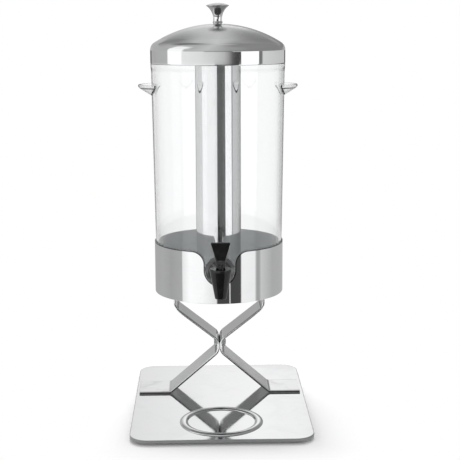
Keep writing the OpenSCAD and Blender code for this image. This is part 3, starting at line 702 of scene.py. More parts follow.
for number, (sx, sy) in enumerate(((-1, -1), (1, -1), (1, 1), (-1, 1)), start=1):
    foot = turned(f"foot_{number}", eased([
        (0, FOOT_DISH), (FOOT_DISH_R, FOOT_DISH), (FOOT_DISH_R + FOOT_DISH_SLOPE, 0.0, 0.3),
        (FOOT_R - FOOT_TAPER, 0.0, 0.8), (FOOT_R, PLATE_Z), (0, PLATE_Z)], closed=False),
        upright(sx * (PLATE_W / 2 - FOOT_INSET), sy * (PLATE_D / 2 - FOOT_INSET)), steps=64, closed=False)
    fitted(foot, black_rubber, "stand", "black_rubber", *(["base_feet"] if number == 1 else []))

ring_bar = [(RING_R - RING_HALF * (1 - x), DECK_Z + RING_H * y) for x, y in arc((0, 0), 1.0, 180, 0, 36)]
glass_ring = turned("glass_ring_polished", ring_bar, upright(0, SPOUT_Y), steps=160)
fitted(glass_ring, ring_polish, "stand", "polished_steel", "glass_ring")


def bent_leg(name, side):
    """One leg: a strip bent along its path, with eased edges and square-cut ends."""
    mid, half, rise = STRIP_T / 2, STRIP_W / 2, HOLDER_Z - DECK_Z
    corners = [(lowest("left_leg", X), mid), (-TAB_CORNER, mid),
               (-mid, CROSS_RISE - CROSS_HALF), (-mid, CROSS_RISE + CROSS_HALF),
               (-SHOULDER_X, rise - SHOULDER_DROP), (-SHOULDER_X, rise - mid), (-FLANGE_END, rise - mid)]
    bends = [TAB_BEND, CROSS_BEND, CROSS_BEND, SHOULDER_BEND, FLANGE_BEND]
    path = bent_path(corners, bends, steps=14, hold=0.6)
    section = eased([(a * mid, b * half, STRIP_EASE) for a, b in ((-1, -1), (1, -1), (1, 1), (-1, 1))],
                    steps=5, hold=0.3)
    inner = [(a - math.copysign(CUT_EASE, a), b - math.copysign(CUT_EASE, b)) for a, b in section]
    first, last = path[0], path[-1]
    rings = [(*first, inner), (first[0] + (path[1][0] - first[0]).normalized() * CUT_EASE, first[1], section)]
    rings += [(point, normal, section) for point, normal in path[1:-1]]
    rings += [(last[0] + (path[-2][0] - last[0]).normalized() * CUT_EASE, last[1], section), (*last, inner)]
    skin_corners = []
    for point, normal, outline in rings:
        for a, b in outline:
            at = point + normal * a
            skin_corners.append((side * at.x, TANK_Y + b, DECK_Z + at.y))
    return made(name, skin_corners, skin(len(rings), len(section)))


fitted(bent_leg("left_leg_strip", 1), leg_satin, "stand", "leg_steel", "left_leg")
fitted(bent_leg("right_leg_strip", -1), leg_satin, "stand", "leg_steel", "right_leg")


def across(x, direction):
    """Places a turned form along X at the crossing of the legs."""
    return lambda r, a, z: (x + direction * z, TANK_Y + r * math.cos(a), DECK_Z + CROSS_RISE + r * math.sin(a))


bolt_head = hex_profile(BOLT_FLATS, BOLT_HEAD_H, None, False, across(-STRIP_T, -1), "cross_bolt_head")
fitted(bolt_head, hardware, "stand", "steel_hardware", "cross_bolt")
bolt_end = STRIP_T + BOLT_NUT_H + BOLT_TAIL
bolt_shank = turned("cross_bolt_shank", eased([
    (0, -STRIP_T), (BOLT_R, -STRIP_T), (BOLT_R, bolt_end, 0.5), (0, bolt_end)], closed=False),
    across(0.0, 1), steps=48, closed=False)
fitted(bolt_shank, hardware, "stand", "steel_hardware")
bolt_nut = hex_profile(BOLT_FLATS, BOLT_NUT_H, BOLT_R + SCREW_GAP, True, across(STRIP_T, 1), "cross_nut_hex")
fitted(bolt_nut, hardware, "stand", "steel_hardware", "cross_nut")


def darkened_rim_line(finish, width, fade, colour):
    """Darkens a narrow line along the band's upper rim and round its notch."""
    tree = finish.node_tree
    shader = tree.nodes["Principled BSDF"]
    apart = add(tree, "ShaderNodeSeparateXYZ", {0: add(tree, "ShaderNodeTexCoord").outputs["Object"]})

    def length(one, two):
        arrow = add(tree, "ShaderNodeCombineXYZ", {0: one, 1: two})
        return add(tree, "ShaderNodeVectorMath", {0: arrow.outputs[0]}, operation="LENGTH").outputs["Value"]

    def past(socket, place):
        return sums(tree, "SUBTRACT", socket, place * MM)

    far_off = 1000.0
    behind = sums(tree, "MAXIMUM", past(apart.outputs[1], TANK_Y), 0.0)
    aside = sums(tree, "MULTIPLY_ADD", behind, far_off, sums(tree, "ABSOLUTE", apart.outputs[0]))
    below = sums(tree, "MINIMUM", past(apart.outputs[2], TAP_Z), 0.0)
    inside = sums(tree, "MINIMUM", past(length(aside, below), NOTCH_HALF + NOTCH_FLARE), 0.0)
    above = sums(tree, "MAXIMUM", past(apart.outputs[2], HOLDER_TOP_Z - NOTCH_FLARE), 0.0)
    from_rim = sums(tree, "SUBTRACT", NOTCH_FLARE * MM, length(inside, above))
    line = spread(tree, from_rim, width * MM, (width + fade) * MM, 1.0, 0.0)
    polish = shader.inputs["Base Color"].links[0].from_socket
    mix = add(tree, "ShaderNodeMix", {0: line, 6: polish, 7: (*colour, 1)}, data_type="RGBA")
    tree.links.new(mix.outputs[2], shader.inputs["Base Color"])


def notched_band():
    """The holder's sheet band: its upper edge dips round the tap in a flared notch."""
    half, flare = NOTCH_HALF, NOTCH_FLARE
    low, base, seat = HOLDER_Z, TAP_Z - half, TAP_Z
    low_rows, notch_rows, top_rows = 6, 8, 6
    notch_steps, flank_steps, round_steps = 28, 16, 120
    columns = []

    def climb(start, end, count):
        return [start + (end - start) * k / count for k in range(1, count + 1)]

    def column(x, kind):
        rows = [low] + climb(low, base, low_rows)
        if kind == "notch":
            return rows + climb(base, TAP_Z - math.sqrt(max(half * half - x * x, 0.0)), notch_rows)
        if abs(x) >= half + flare:
            top = HOLDER_TOP_Z
        else:
            run = half + flare - abs(x)
            top = HOLDER_TOP_Z - flare + math.sqrt(max(flare * flare - run * run, 0.0))
        return rows + climb(base, seat, notch_rows) + climb(seat, top, top_rows)

    notch = [half * math.sin(math.radians(-90 + 180 * k / notch_steps)) for k in range(notch_steps + 1)]
    flank = [half + flare * (1 - math.cos(math.radians(90 * k / flank_steps))) for k in range(flank_steps + 1)]
    wide = math.asin((half + flare) / HOLDER_R)
    for k in range(round_steps + 1):
        a = wide + (2 * math.pi - 2 * wide) * k / round_steps
        columns.append((a, HOLDER_R * math.sin(a), "round" if math.cos(a) < 0 else "side"))
    left = [(-x, "side") for x in reversed(flank[:-1])]
    mid = [(x, "notch") for x in notch]
    right = [(x, "side") for x in flank[:-1]]
    for x, kind in left + mid + right:
        columns.append((math.asin(x / HOLDER_R), x, kind))
    corners, index = [], []
    for a, x, kind in columns:
        rows = column(HOLDER_R if kind == "round" else x, kind)
        index.append(list(range(len(corners), len(corners) + len(rows))))
        corners += [(HOLDER_R * math.sin(a), TANK_Y - HOLDER_R * math.cos(a), z) for z in rows]
    faces = []
    for i in range(len(index)):
        one, two = index[i], index[(i + 1) % len(index)]
        for k in range(min(len(one), len(two)) - 1):
            faces.append([one[k], two[k], two[k + 1], one[k + 1]])
    return made("holder_band_sheet", corners, faces)


band = notched_band()
sheet = band.modifiers.new("sheet", "SOLIDIFY")
sheet.thickness = HOLDER_T * MM
sheet.offset = -1.0
sheet.use_even_offset = True
settled(band)
smooth(band.data, 30)
inner_faces = [face.index for face in band.data.polygons
               if face.normal.x * face.center.x + face.normal.y * (face.center.y - TANK_Y * MM) < -0.05 * HOLDER_R * MM]


def eased_rims(piece, rims):
    """Eases the cut edges of a sheet by rim: (name, lowest place, highest place, ease, material number)."""
    sides = {}
    for face in piece.data.polygons:
        for key in face.edge_keys:
            sides.setdefault(key, []).append(face.normal)
    for name, low, high, ease, number in rims:
        weights = piece.data.attributes.new(name, "FLOAT", "EDGE")
        for cut in piece.data.edges:
            normals = sides[tuple(sorted(cut.vertices))]
            z = piece.data.vertices[cut.vertices[0]].co.z / MM
            turned_over = len(normals) == 2 and normals[0].angle(normals[1]) > math.radians(50)
            weights.data[cut.index].value = 1.0 if turned_over and low <= z <= high else 0.0
        step = piece.modifiers.new(name, "BEVEL")
        step.limit_method = "WEIGHT"
        step.edge_weight = name
        step.width = ease * MM
        step.segments = 3
        step.material = number


OUTSIDE, INSIDE, CUT_EDGE = range(3)
eased_rims(band, [("lower_rim", HOLDER_Z - 1, HOLDER_Z + 1, 0.22, OUTSIDE),
                  ("upper_rim", HOLDER_Z + 1, HOLDER_TOP_Z + 1, 0.45, CUT_EDGE)])
flat_normals(band)
# The band's base colour is darker in a narrow line along its upper rim and notch.
darkened_rim_line(band_polish, width=0.9, fade=0.4, colour=RIM_LINE_DARK)
fitted(band, band_polish, "stand", "polished_steel", "holder_band")
band.data.materials.append(band_inside)
band.data.materials.append(band_rim_dark)
for number in inner_faces:
    band.data.polygons[number].material_index = INSIDE

# Tank

NECK_R = LID_R - SHEET - NECK_GAP
STUD_R = 5.0
STUD_HOLE_R = STUD_R + SCREW_GAP
SEAL_Z, SEAL_TOP_Z, SEAL_GROOVE = LID_SEAT_Z + 4.0, LID_SEAT_Z + 7.0, 1.0
tank = turned("tank_clear_wall", eased([
    (TANK_R_BASE, TANK_Z, 1.0),
    (TANK_R_TOP, BEAD_Z, 60.0),
    (BEAD_R, BEAD_Z + BEAD_EASE, 30.0),
    (BEAD_R, LID_SEAT_Z, 0.6),
    (NECK_R, LID_SEAT_Z, 0.4),
    (NECK_R, SEAL_Z, 0.2),
    (NECK_R - SEAL_GROOVE, SEAL_Z, 0.2),
    (NECK_R - SEAL_GROOVE, SEAL_TOP_Z, 0.2),
    (NECK_R, SEAL_TOP_Z, 0.2),
    (NECK_R, NECK_TOP_Z, 0.9),
    (TANK_R_TOP - TANK_WALL, NECK_TOP_Z, 0.9),
    (tank_radius(TANK_FLOOR_Z) - TANK_WALL, TANK_FLOOR_Z, 4.0),
    (STUD_HOLE_R, TANK_FLOOR_Z),
    (STUD_HOLE_R, TANK_FLOOR_UNDER_Z),
    (tank_radius(TANK_FLOOR_UNDER_Z) - TANK_WALL, TANK_FLOOR_UNDER_Z, 3.0),
    (TANK_R_BASE - TANK_WALL, TANK_Z, 1.0)]), upright(0, TANK_Y), steps=192)


def ear_handle(side):
    """One ear handle: a thin round scoop with a raised lip, cut back to the middle of the tank's wall."""
    ear_r, wall, ear_out, ear_drop, ear_h, overlap = 34.0, 2.6, 16.5, 26.0, 15.0, 0.1
    knee_in, knee_drop, lip_h = 2.0, 5.0, 3.0
    top, root = LID_SEAT_Z - ear_drop, LID_SEAT_Z - ear_drop - ear_h
    ear_x, cut_r = TANK_R_TOP + ear_out - ear_r, TANK_R_TOP - TANK_WALL / 2
    foot, knee = Vector((cut_r - ear_x, root)), Vector((ear_r - knee_in, top - knee_drop))
    slope = (knee - foot).normalized()
    inner = foot + wall * Vector((-slope.y, slope.x))
    bend = inner + slope * ((ear_r - wall - inner.x) / slope.x)
    ear = turned("ear", eased([
        (*foot,), (*knee, 2.5), (ear_r, top - lip_h, 2.0), (ear_r, top, 1.1), (ear_r - wall, top, 1.1),
        (*bend, 1.6), (*inner,), (inner.x, root)], hold=0.3), upright(side * ear_x, TANK_Y), steps=128)
    core = rod("core", cut_r - overlap, root - PAST, top + PAST, upright(0, TANK_Y), 192)
    return worked(ear, core, "DIFFERENCE")


worked(tank, ear_handle(1), "UNION")
worked(tank, ear_handle(-1), "UNION")
BOSS_L = BOSS_OUTER - BOSS_INNER
boss = turned("boss", eased([(0, 0), (COLLAR_R, 0, 0.5), (COLLAR_R, BOSS_L, 0.5), (0, BOSS_L)], closed=False),
              along_tap(BOSS_INNER), steps=96, closed=False)
worked(tank, boss, "UNION")
worked(tank, rod("bore", SHANK_HOLE_R, -PAST, BOSS_L + PAST, along_tap(BOSS_INNER), 64), "DIFFERENCE")
smooth(tank.data, 30)
flat_normals(tank)
fitted(tank, tank_clear, "tank", "clear_plastic", "tank")

# Ice tube, with a rolled rim and a welded base

TUBE_FLOOR_T, STUD_WELD = 1.2, 0.4
TUBE_FLOOR_Z = TUBE_Z + TUBE_FLOOR_T
tube = turned("ice_tube_polished", eased([
    (0, TUBE_Z), (TUBE_R, TUBE_Z, 2.0), (TUBE_R, TUBE_TOP_Z, 0.35), (TUBE_R - SHEET, TUBE_TOP_Z, 0.35),
    (TUBE_R - SHEET, TUBE_FLOOR_Z, 1.5), (0, TUBE_FLOOR_Z)], closed=False),
    upright(0, TANK_Y), steps=160, closed=False)
fitted(tube, tube_polish, "tank", "polished_steel", "ice_tube")
stud = threaded_rod("ice_tube_stud", STUD_R, lowest("ice_tube", Z), TUBE_Z + STUD_WELD, upright(0, TANK_Y),
                    pitch=1.5, depth=0.6)
fitted(stud, hardware, "tank", "steel_hardware")

# Lid and knob


def lid_line(inset):
    """The lid's line from the knob's seat to its skirt, moved in by a sheet thickness."""
    dome, shoulder, seat_r = 150.0, 11.5, 9.3
    dome_z, cx = KNOB_Z - math.sqrt(dome ** 2 - seat_r ** 2), LID_R - shoulder
    cz = dome_z + math.sqrt((dome - shoulder) ** 2 - cx ** 2)
    meet = math.degrees(math.atan2(cz - dome_z, cx))
    top = math.degrees(math.acos(seat_r / dome))
    line = [(0, KNOB_Z - inset)]
    line += arc((0, dome_z), dome - inset, top, meet, 40)
    line += arc((cx, cz), shoulder - inset, meet, 0, 18)[1:]
    line.append((LID_R - inset, cz - 0.3))
    return line


SKIRT_Z = LID_Z + 6.8
DOME_SLOPE = 0.88
skirt = lid_line(0) + eased([(LID_R, SKIRT_Z), (LID_R, LID_Z, 0.35), (LID_R - SHEET, LID_Z, 0.35),
                             (LID_R - SHEET, SKIRT_Z)], closed=False) + list(reversed(lid_line(SHEET)))
lid = turned("lid_polished", skirt, upright(0, TANK_Y), steps=224, closed=False)
fitted(lid, lid_polish, "lid", "polished_steel", "lid_shell")
lid.data.materials.append(dome_polish)
for face in lid.data.polygons:
    if abs(face.normal.z) > DOME_SLOPE:
        face.material_index = 1


def knob_profile():
    """The knob's profile: a small foot, a beaded waist and a flare under a crowned top."""
    waist, bead, bead_out, foot, neck, edge, crown, ease = 5.4, 1.5, 0.8, 0.5, 2.5, 0.5, 3.0, 0.5
    bead_x, bead_z = waist + bead_out - bead, foot + bead
    bead_turn = math.degrees(math.acos((waist - bead_x) / bead))
    flare_z = bead_z + bead * math.sin(math.radians(bead_turn)) + neck
    rim_z, out = KNOB_H - crown - edge, KNOB_R - waist
    flare = ((rim_z - flare_z) ** 2 + out ** 2) / (2 * out)
    flare_turn = math.degrees(math.acos(1 - out / flare))
    crown_r = (KNOB_R ** 2 + crown ** 2) / (2 * crown)
    crown_turn = math.degrees(math.acos((KNOB_R - ease) / crown_r))
    line = [(0, 0), (waist - 0.2, 0), (waist, 0.2)]
    line += arc((bead_x, bead_z), bead, -bead_turn, bead_turn, 12)
    line += arc((waist + flare, flare_z), flare, 180, 180 - flare_turn + 1, 26)
    line += arc((KNOB_R - ease, rim_z + ease * 0.6), ease, -40, 60, 8)
    line += arc((0, KNOB_H - crown_r), crown_r, crown_turn, 90, 14)
    return line


knob = turned("lid_knob_polished", [(r, z + KNOB_Z) for r, z in knob_profile()], upright(0, TANK_Y),
              steps=128, closed=False, sharp=42)
fitted(knob, knob_polish, "lid", "polished_steel", "lid_knob")

# Tap

NECK_L = TANK_Y - COLLAR_FRONT - SPOUT_Y
PIPE_L = 39.4
body = turned("tap_body_moulded", [(0, SPOUT_Z), (SPOUT_R, SPOUT_Z), (BARREL_R, BARREL_TOP_Z), (0, BARREL_TOP_Z)],
              upright(0, SPOUT_Y), steps=96, closed=False)
worked(body, rod("neck", NECK_TUBE_R, 0, NECK_L, along_tap(COLLAR_FRONT), 72), "UNION")
moulded(body, grain=0.45, passes=6)
for tool in (rod("pipe", SHANK_BORE_R, -PAST, PIPE_L, along_tap(COLLAR_FRONT), 48),
             rod("mouth", SPOUT_BORE_R, SPOUT_Z - PAST, BARREL_TOP_Z + PAST, upright(0, SPOUT_Y), 48),
             rod("chamber", CHAMBER_R, TAP_Z - CHAMBER_DROP, BARREL_TOP_Z + PAST, upright(0, SPOUT_Y), 64)):
    worked(body, tool, "DIFFERENCE")
smooth(body.data, 40)
fitted(body, tap_black, "tank", "black_plastic", "tap_body")

SHANK_L = COLLAR_FRONT - SHANK_END
shank = threaded_rod("tap_shank_thread", SHANK_R, 0.0, SHANK_L, along_tap(SHANK_END), pitch=2.0, depth=0.75)
worked(shank, rod("shank_bore", SHANK_BORE_R, -PAST, SHANK_L + PAST, along_tap(SHANK_END), 48), "DIFFERENCE")
smooth(shank.data, 45)
fitted(shank, tap_black, "tank", "black_plastic")

COLLAR_H = COLLAR_FRONT - COLLAR_BACK
BEVEL_W, BEVEL_H, COLLAR_RIM, COLLAR_DISH = 3.2, 1.6, 4.2, 0.5
collar = turned("tap_collar_moulded", eased([
    (SHANK_HOLE_R, 0), (COLLAR_R, 0, 0.4), (COLLAR_R, COLLAR_H - BEVEL_H, 0.4), (COLLAR_R - BEVEL_W, COLLAR_H, 0.4),
    (COLLAR_R - COLLAR_RIM, COLLAR_H, 0.2), (COLLAR_R - COLLAR_RIM - COLLAR_DISH, COLLAR_H - COLLAR_DISH, 0.2),
    (SHANK_HOLE_R, COLLAR_H - COLLAR_DISH)], hold=0.2), along_tap(COLLAR_BACK), steps=96)
fitted(collar, collar_grey, "tank", "grey_plastic", "tap_collar")

clamp_nut = hex_profile(TAP_NUT_FLATS, TAP_NUT_H, SHANK_HOLE_R, True, along_tap(SHANK_END + TAP_NUT_PLACE),
                        "tap_nut_hex")
fitted(clamp_nut, tap_black, "tank", "black_plastic", "tap_nut")

STEM_HOLE_R, PLUG_GAP, STEM_DISH = 2.55, 0.1, 0.3
STEM_DISH_R, STEM_DISH_FLOOR_R = 4.6, 4.2
BONNET_PLUG_R, STEM_DISH_Z = CHAMBER_R - PLUG_GAP, BONNET_TOP_Z - STEM_DISH
bonnet = turned("tap_bonnet_moulded", eased([
    (STEM_HOLE_R, BONNET_Z), (BONNET_PLUG_R, BONNET_Z, 0.2), (BONNET_PLUG_R, BARREL_TOP_Z),
    (BARREL_R, BARREL_TOP_Z, 0.2), (BARREL_R, BONNET_TOP_Z, 0.8), (STEM_DISH_R, BONNET_TOP_Z, 0.3),
    (STEM_DISH_FLOOR_R, STEM_DISH_Z, 0.2), (STEM_HOLE_R, STEM_DISH_Z)], hold=0.2), upright(0, SPOUT_Y), steps=96)
fitted(bonnet, tap_black, "tank", "black_plastic", "tap_bonnet")


def coil_spring(name):
    """The spring over the seat cup: round wire, with half a flat turn at each end."""
    wire, turns, flat, steps, sides = 0.25, 5, 0.5, 40, 12
    coil = highest("tap_spring", X) - wire
    low, high = lowest("tap_spring", Z) + wire, highest("tap_spring", Z) - wire
    corners = []
    for i in range(turns * steps + 1):
        t = i / steps
        z = low + (high - low) * min(max((t - flat) / (turns - 2 * flat), 0.0), 1.0)
        for k in range(sides):
            b = 2 * math.pi * k / sides
            corners.append(upright(0, SPOUT_Y)(coil + wire * math.cos(b), 2 * math.pi * t, z + wire * math.sin(b)))
    return made(name, corners, skin(turns * steps + 1, sides), 50.0)


spring = fitted(coil_spring("tap_spring_coil"), hardware, "tank", "steel_hardware", "tap_spring")
joints = {joint["name"]: joint for joint in frame["joints"]}
stem_travel = joints["stem_lift"]["range_m"][1] / MM
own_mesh(spring)


CAM_REACH = 6.0
lever_tilt = math.radians(joints["lever_tilt"]["range_deg"][1])


def cam_line():
    """The lever's cam, whose reach below the pin grows evenly with the angle."""
    ratio = stem_travel / lever_tilt
    steps, cam_end = 24, math.radians(46.0)
    points = []
    for k in range(steps + 1):
        a = cam_end * k / steps
        reach = CAM_REACH + ratio * a
        points.append((-reach * math.sin(a) - ratio * math.cos(a), -reach * math.cos(a) + ratio * math.sin(a)))
    return points


def lever_paddle():
    """The fan-shaped lever with its fork and cam feet, moulded in one piece."""
    slot, room, waist, heel, pin_hole = 2.8, 4.52, 6.12, 5.0, 1.55
    foot_half, top_half, thick, taper, steps = 5.5, 11.75, 2.5, 0.4, 12
    low, high = 3.62, highest("tap_lever", Z) - PIN_Z
    side = [(heel, -CAM_REACH)] + cam_line()
    side += [(-thick, low), (-thick, waist), (thick, waist), (thick, 2.0), (heel, -2.0)]
    fork = drawn_out("tap_lever_moulded", side, lambda y, z, d: (d - foot_half, SPOUT_Y + y, PIN_Z + z),
                     2 * foot_half)
    rows = []
    for k in range(steps + 1):
        t = k / steps
        z = low + (high - low) * t
        half_w = foot_half + (top_half - foot_half) * t
        half_t = thick - taper * t
        rows.append([(-half_w, -half_t, z), (half_w, -half_t, z), (half_w, half_t, z), (-half_w, half_t, z)])
    corners = [(x, SPOUT_Y + y, PIN_Z + z) for row in rows for x, y, z in row]
    worked(fork, made("paddle", corners, skin(steps + 1, 4)), "UNION")
    moulded(fork, grain=0.3, passes=5)

    def round_pin(r, a, z):
        return (z, SPOUT_Y + r * math.cos(a), PIN_Z + r * math.sin(a))

    wide = 2 * CAM_REACH
    tools = [rod("head_room", room, -slot, slot, round_pin, 64),
             drawn_out("stem_slot", [(-wide, -wide), (wide, -wide), (wide, 0), (-wide, 0)],
                       lambda y, z, d: (d - slot, SPOUT_Y + y, PIN_Z + z), 2 * slot),
             rod("pin_hole", pin_hole, -foot_half - PAST, foot_half + PAST, round_pin, 48)]
    for tool in tools:
        worked(fork, tool, "DIFFERENCE")
    smooth(fork.data, 40)
    return fork


fitted(lever_paddle(), tap_black, "lever", "black_plastic", "tap_lever")

# Solids that keep their own shape
for finish, names in ((hardware, ["tab_screws", "holder_screws", "holder_nuts", "ice_tube_washer", "ice_tube_nut",
                                  "lever_pin", "knob_screw", "knob_washer"]),
                      (floor_satin, ["holder_floor"]),
                      (black_rubber, ["tap_outer_gasket", "tap_inner_gasket", "seat_cup"]),
                      (silicone, ["holder_pad", "rim_seal", "ice_tube_seal"]),
                      (stem_grey, ["tap_stem"])):
    for name in names:
        for holder in nodes[name].material_slots:
            holder.material = finish

# Camera, at the photograph's height and distance

EYE_PLACE = (-0.0224, -1.3777, 0.484)
EYE_PITCH, EYE_ROLL, EYE_YAW = 79.47, 0.2, -1.526
EYE_LENS, EYE_SENSOR = 87.65, 36.0
eye = bpy.data.cameras.new("eye")
eye.lens, eye.sensor_width = EYE_LENS, EYE_SENSOR
eye_object = bpy.data.objects.new("eye", eye)
eye_object.location = EYE_PLACE
eye_object.rotation_euler = [math.radians(angle) for angle in (EYE_PITCH, EYE_ROLL, EYE_YAW)]
bpy.context.scene.collection.objects.link(eye_object)
bpy.context.scene.camera = eye_object


# Studio

def grey(level):
    """A grey of one level."""
    return (level, level, level, 1)


def product(tree, *factors):
    """Masks multiplied together."""
    whole = factors[0]
    for factor in factors[1:]:
        whole = sums(tree, "MULTIPLY", whole, factor)
    return whole


def studio():
    """White walls with grey and dark panels that the polished steel mirrors.

    A panel's stops are (angle, level): the camera stands at 0 degrees, with 90 degrees on its right.
    """
    world = bpy.data.worlds.new("studio")
    bpy.context.scene.world = world
    world.use_nodes = True
    tree = world.node_tree
    tree.nodes.clear()
    way = add(tree, "ShaderNodeTexCoord").outputs["Generated"]
    apart = add(tree, "ShaderNodeSeparateXYZ", {0: way})
    front = sums(tree, "MULTIPLY", apart.outputs[1], -1.0)
    turn = sums(tree, "ARCTAN2", apart.outputs[0], front)
    share = sums(tree, "MULTIPLY_ADD", turn, 0.5 / math.pi, 0.5)
    lift = sums(tree, "MULTIPLY", sums(tree, "ARCSINE", apart.outputs[2]), 180 / math.pi)

    def panels(stops):
        ramp = tree.nodes.new("ShaderNodeValToRGB")
        ramp.color_ramp.interpolation = "LINEAR"
        points = ramp.color_ramp.elements
        points[0].position, points[1].position = 0.0, 1.0
        for stop, (angle, level) in enumerate(stops):
            place = (angle + 180) / 360
            if stop == 0:
                point = points[0]
            elif stop == len(stops) - 1:
                point = points[len(points) - 1]
            else:
                point = points.new(place)
            point.position = place
            point.color = grey(level)
        tree.links.new(share, ramp.inputs[0])
        return ramp.outputs[0]

    foot_wall = panels([(-180, 0.2), (-120, 0.45), (-62, 0.45), (-58, 0.08), (44, 0.06), (48, 0.45), (120, 0.45),
                        (180, 0.2)])
    band_wall = panels([(-180, 0.42), (-120, 0.5), (-99, 0.46), (-98, 0.44), (-70, 0.5), (-69, 1.0), (-55, 1.25),
                        (-30, 1.2), (-5, 0.95), (-4, 0.07), (17.6, 0.07), (18.0, 1.0), (19.2, 1.0), (19.6, 0.07),
                        (38.6, 0.08), (39.6, 1.1), (66, 1.05), (70, 0.45), (76, 0.45), (80, 0.7), (110, 0.5),
                        (180, 0.5)])
    tube_wall = panels([(-180, 0.4), (-168, 0.4), (-166, 0.2), (-157, 0.2), (-155, 0.5), (-148, 0.72), (-110, 0.8),
                        (-89, 0.85), (-88, 1.25), (-59, 1.25), (-58, 1.15), (-7, 1.1), (-5, 0.1), (34, 0.08),
                        (36, 1.35), (70, 1.35), (71, 0.3), (76, 0.34), (78, 0.75), (110, 0.7), (140, 0.36),
                        (152, 0.26), (158, 0.2), (166, 0.2), (169, 0.3), (180, 0.3)])
    lid_wall = panels([(-180, 0.46), (-171, 0.46), (-169, 0.12), (-156, 0.12), (-154, 0.46), (-95, 0.54),
                       (-94, 1.3), (-65, 1.3), (-64, 0.98), (-30, 0.88), (0, 0.7), (10, 0.58), (16, 0.42),
                       (24, 0.14), (30, 0.07), (38, 0.07), (39, 1.35), (72, 1.35), (73, 0.2), (79, 0.22),
                       (81, 0.78), (154, 0.6), (156, 0.12), (169, 0.12), (171, 0.5), (180, 0.5)])
    knob_wall = panels([(-180, 0.5), (-95, 0.54), (-94, 1.25), (-65, 1.25), (-60, 1.1), (-26, 1.1), (-22, 0.05),
                        (22, 0.05), (26, 1.2), (72, 1.2), (73, 0.3), (79, 0.3), (81, 0.75), (110, 0.6), (180, 0.5)])
    leg_wall = panels([(-180, 0.75), (-172, 0.42), (-165, 0.4), (-162.5, 0.54), (-140, 0.5), (-96, 0.5), (-94, 1.2),
                       (-65, 1.2), (-60, 0.55), (-20, 0.52), (0, 0.42), (20, 0.28), (60, 0.28), (135, 0.28),
                       (160, 0.49), (163, 0.48), (165, 0.4), (172, 0.38), (176, 0.3), (179.5, 0.32), (180, 0.6)])
    dome_wall = panels([(-180, 0.7), (-175, 0.62), (-170, 0.5), (-146, 0.5), (-96, 0.5), (-94, 1.2), (-65, 1.2),
                        (-60, 0.55), (-20, 0.6), (0, 0.5), (20, 0.36), (60, 0.28), (135, 0.28), (156, 0.26),
                        (167, 0.26), (176, 0.34), (179.5, 0.5), (180, 0.65)])
    plate_wall = panels([(-180, 0.98), (-176, 0.86), (-170, 0.52), (-163, 0.5), (-140, 0.5), (-96, 0.5), (-94, 1.2),
                         (-65, 1.2), (-60, 0.55), (-20, 0.62), (0, 0.52), (20, 0.38), (60, 0.28), (135, 0.28),
                         (150, 0.34), (160, 0.33), (169, 0.42), (173.5, 1.0), (177, 1.06), (180, 1.0)])
    upper_wall = panels([(-180, 0.66), (-172, 0.62), (-166, 0.4), (-161, 0.26), (-150, 0.34), (-130, 0.45),
                         (-95, 0.55), (-90, 1.1), (-65, 1.1), (-50, 0.5), (-20, 0.64), (0, 0.53), (20, 0.4),
                         (60, 0.3), (135, 0.28), (150, 0.3), (160, 0.26), (166, 0.29), (173, 0.5), (177, 0.64),
                         (180, 0.66)])
    ceiling = panels([(-180, 0.68), (-160, 0.56), (-150, 0.22), (-140, 0.14), (-122, 0.14), (-108, 0.5), (-60, 0.5),
                      (-20, 0.64), (0, 0.55), (17, 0.44), (40, 0.3), (135, 0.28), (160, 0.38), (170, 0.58),
                      (180, 0.68)])

    def over(below, mask, tone):
        return add(tree, "ShaderNodeMix", {0: mask, 6: below, 7: tone}, data_type="RGBA").outputs[2]

    # Each wall takes over from the one below it between two heights, in degrees
    tube_from = (-10.9, -10.6)
    walls = foot_wall
    for wall, rise in ((band_wall, (-16.2, -15.6)), (tube_wall, tube_from), (lid_wall, (-2.26, -2.16)),
                       (knob_wall, (-1.2, -1.0)), (leg_wall, (0.2, 0.5)), (dome_wall, (5.8, 8.0)),
                       (plate_wall, (15.6, 17.2)), (upper_wall, (22.3, 26.0)), (ceiling, (42.0, 55.0)),
                       (grey(0.62), (70.0, 86.0))):
        walls = over(walls, spread(tree, lift, *rise, 0.0, 1.0), wall)

    path = tree.nodes.new("ShaderNodeLightPath")
    mirrors, glass = path.outputs["Glossy Depth"], path.outputs["Transmission Depth"]

    def more(count, least):
        return sums(tree, "GREATER_THAN", count, least - 0.5)

    def fewer(count, most):
        return sums(tree, "LESS_THAN", count, most + 0.5)

    # Inside the tank and its walls
    in_the_tank = product(tree, more(glass, 1), spread(tree, lift, 8.0, 12.0, 1.0, 0.0),
                          spread(tree, lift, *tube_from, 0.0, 1.0))
    walls = over(walls, in_the_tank, tube_wall)
    walls = over(walls, product(tree, more(glass, 5), 0.75), grey(0.95))

    # From one mirror into the next, which shades the undersides
    in_front = sums(tree, "LESS_THAN", sums(tree, "ABSOLUTE", turn), math.radians(80))
    twice = product(tree, more(mirrors, 2), spread(tree, lift, 2.0, 6.0, 0.0, 1.0), in_front, fewer(glass, 2))
    walls = over(walls, twice, grey(0.05))
    walls = over(walls, product(tree, more(mirrors, 3), fewer(glass, 0), 0.8), grey(0.22))

    # Soft light on matt surfaces, and white behind the object and through the tank
    walls = over(walls, path.outputs["Is Diffuse Ray"], grey(0.7))
    see_through = sums(tree, "MAXIMUM", fewer(mirrors, 0), product(tree, fewer(glass, 2), 0.7))
    through = product(tree, path.outputs["Is Transmission Ray"], see_through)
    shown = over(walls, sums(tree, "MAXIMUM", path.outputs["Is Camera Ray"], through), grey(1.0))
    glow = add(tree, "ShaderNodeBackground", {"Color": shown, "Strength": 1.0})
    end = tree.nodes.new("ShaderNodeOutputWorld")
    tree.links.new(glow.outputs[0], end.inputs[0])


studio()

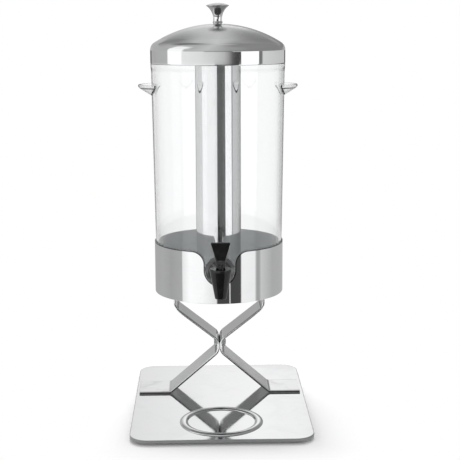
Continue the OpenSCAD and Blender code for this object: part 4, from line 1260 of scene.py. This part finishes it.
LAMP_SIZE, LAMP_POWER = 1.2, 23.0
LAMP_PLACE, LAMP_TILT, LAMP_LEAN = (-0.1, 0.85, 1.8), -25, -3
lamp = bpy.data.lights.new("overhead_softbox", "AREA")
lamp.shape, lamp.size, lamp.energy = "DISK", LAMP_SIZE, LAMP_POWER
lamp_object = bpy.data.objects.new("overhead_softbox", lamp)
lamp_object.location = LAMP_PLACE
lamp_object.rotation_euler = (math.radians(LAMP_TILT), math.radians(LAMP_LEAN), 0)
lamp_object.visible_glossy = False
lamp_object.visible_transmission = False
bpy.context.scene.collection.objects.link(lamp_object)


def studio_floor():
    """A pale round floor that fades into the white background, and is shaded from mirror to mirror."""
    floor_r, fade_from, fade_to = 270.0, 0.004, 0.055
    rings = [(floor_r * k / 3, 0) for k in range(4)]
    floor = turned("pale_floor", rings, upright(0, 0), steps=96, closed=False)
    finish, tree, shader, place = blank_finish("pale_floor", {"Roughness": 0.8, "Specular IOR Level": 0.0})
    marks = place_effect(tree, HANDLING_MARKS, place=place, smear_size=5.0, speck_size=200.0)
    tint(tree, shader, marks["Smears"], (0.97, 0.97, 0.97), (0.96, 0.96, 0.96))
    apart = add(tree, "ShaderNodeSeparateXYZ", {0: place})

    def beyond(socket, half):
        return sums(tree, "MAXIMUM", sums(tree, "SUBTRACT", sums(tree, "ABSOLUTE", socket), half * MM), 0.0)

    past = add(tree, "ShaderNodeCombineXYZ", {0: beyond(apart.outputs[0], PLATE_W / 2),
                                              1: beyond(apart.outputs[1], PLATE_D / 2)})
    away = add(tree, "ShaderNodeVectorMath", {0: past.outputs[0]}, operation="LENGTH")
    fade = spread(tree, away.outputs["Value"], fade_from, fade_to, 0.0, 1.0)
    path = tree.nodes.new("ShaderNodeLightPath")
    seen = product(tree, fade, path.outputs["Is Camera Ray"])
    twice = product(tree, sums(tree, "GREATER_THAN", path.outputs["Glossy Depth"], 1.5),
                    sums(tree, "LESS_THAN", path.outputs["Transmission Depth"], 0.5))
    surface = shader.outputs[0]
    for mask, level in ((seen, 1.0), (twice, 0.2)):
        glow = add(tree, "ShaderNodeEmission", {"Color": grey(level), "Strength": 1.0})
        mix = add(tree, "ShaderNodeMixShader", {0: mask, 1: surface, 2: glow.outputs[0]})
        surface = mix.outputs[0]
    tree.links.new(surface, tree.nodes["Material Output"].inputs["Surface"])
    floor.data.materials.append(finish)


studio_floor()

bpy.context.scene.view_settings.view_transform = "Standard"
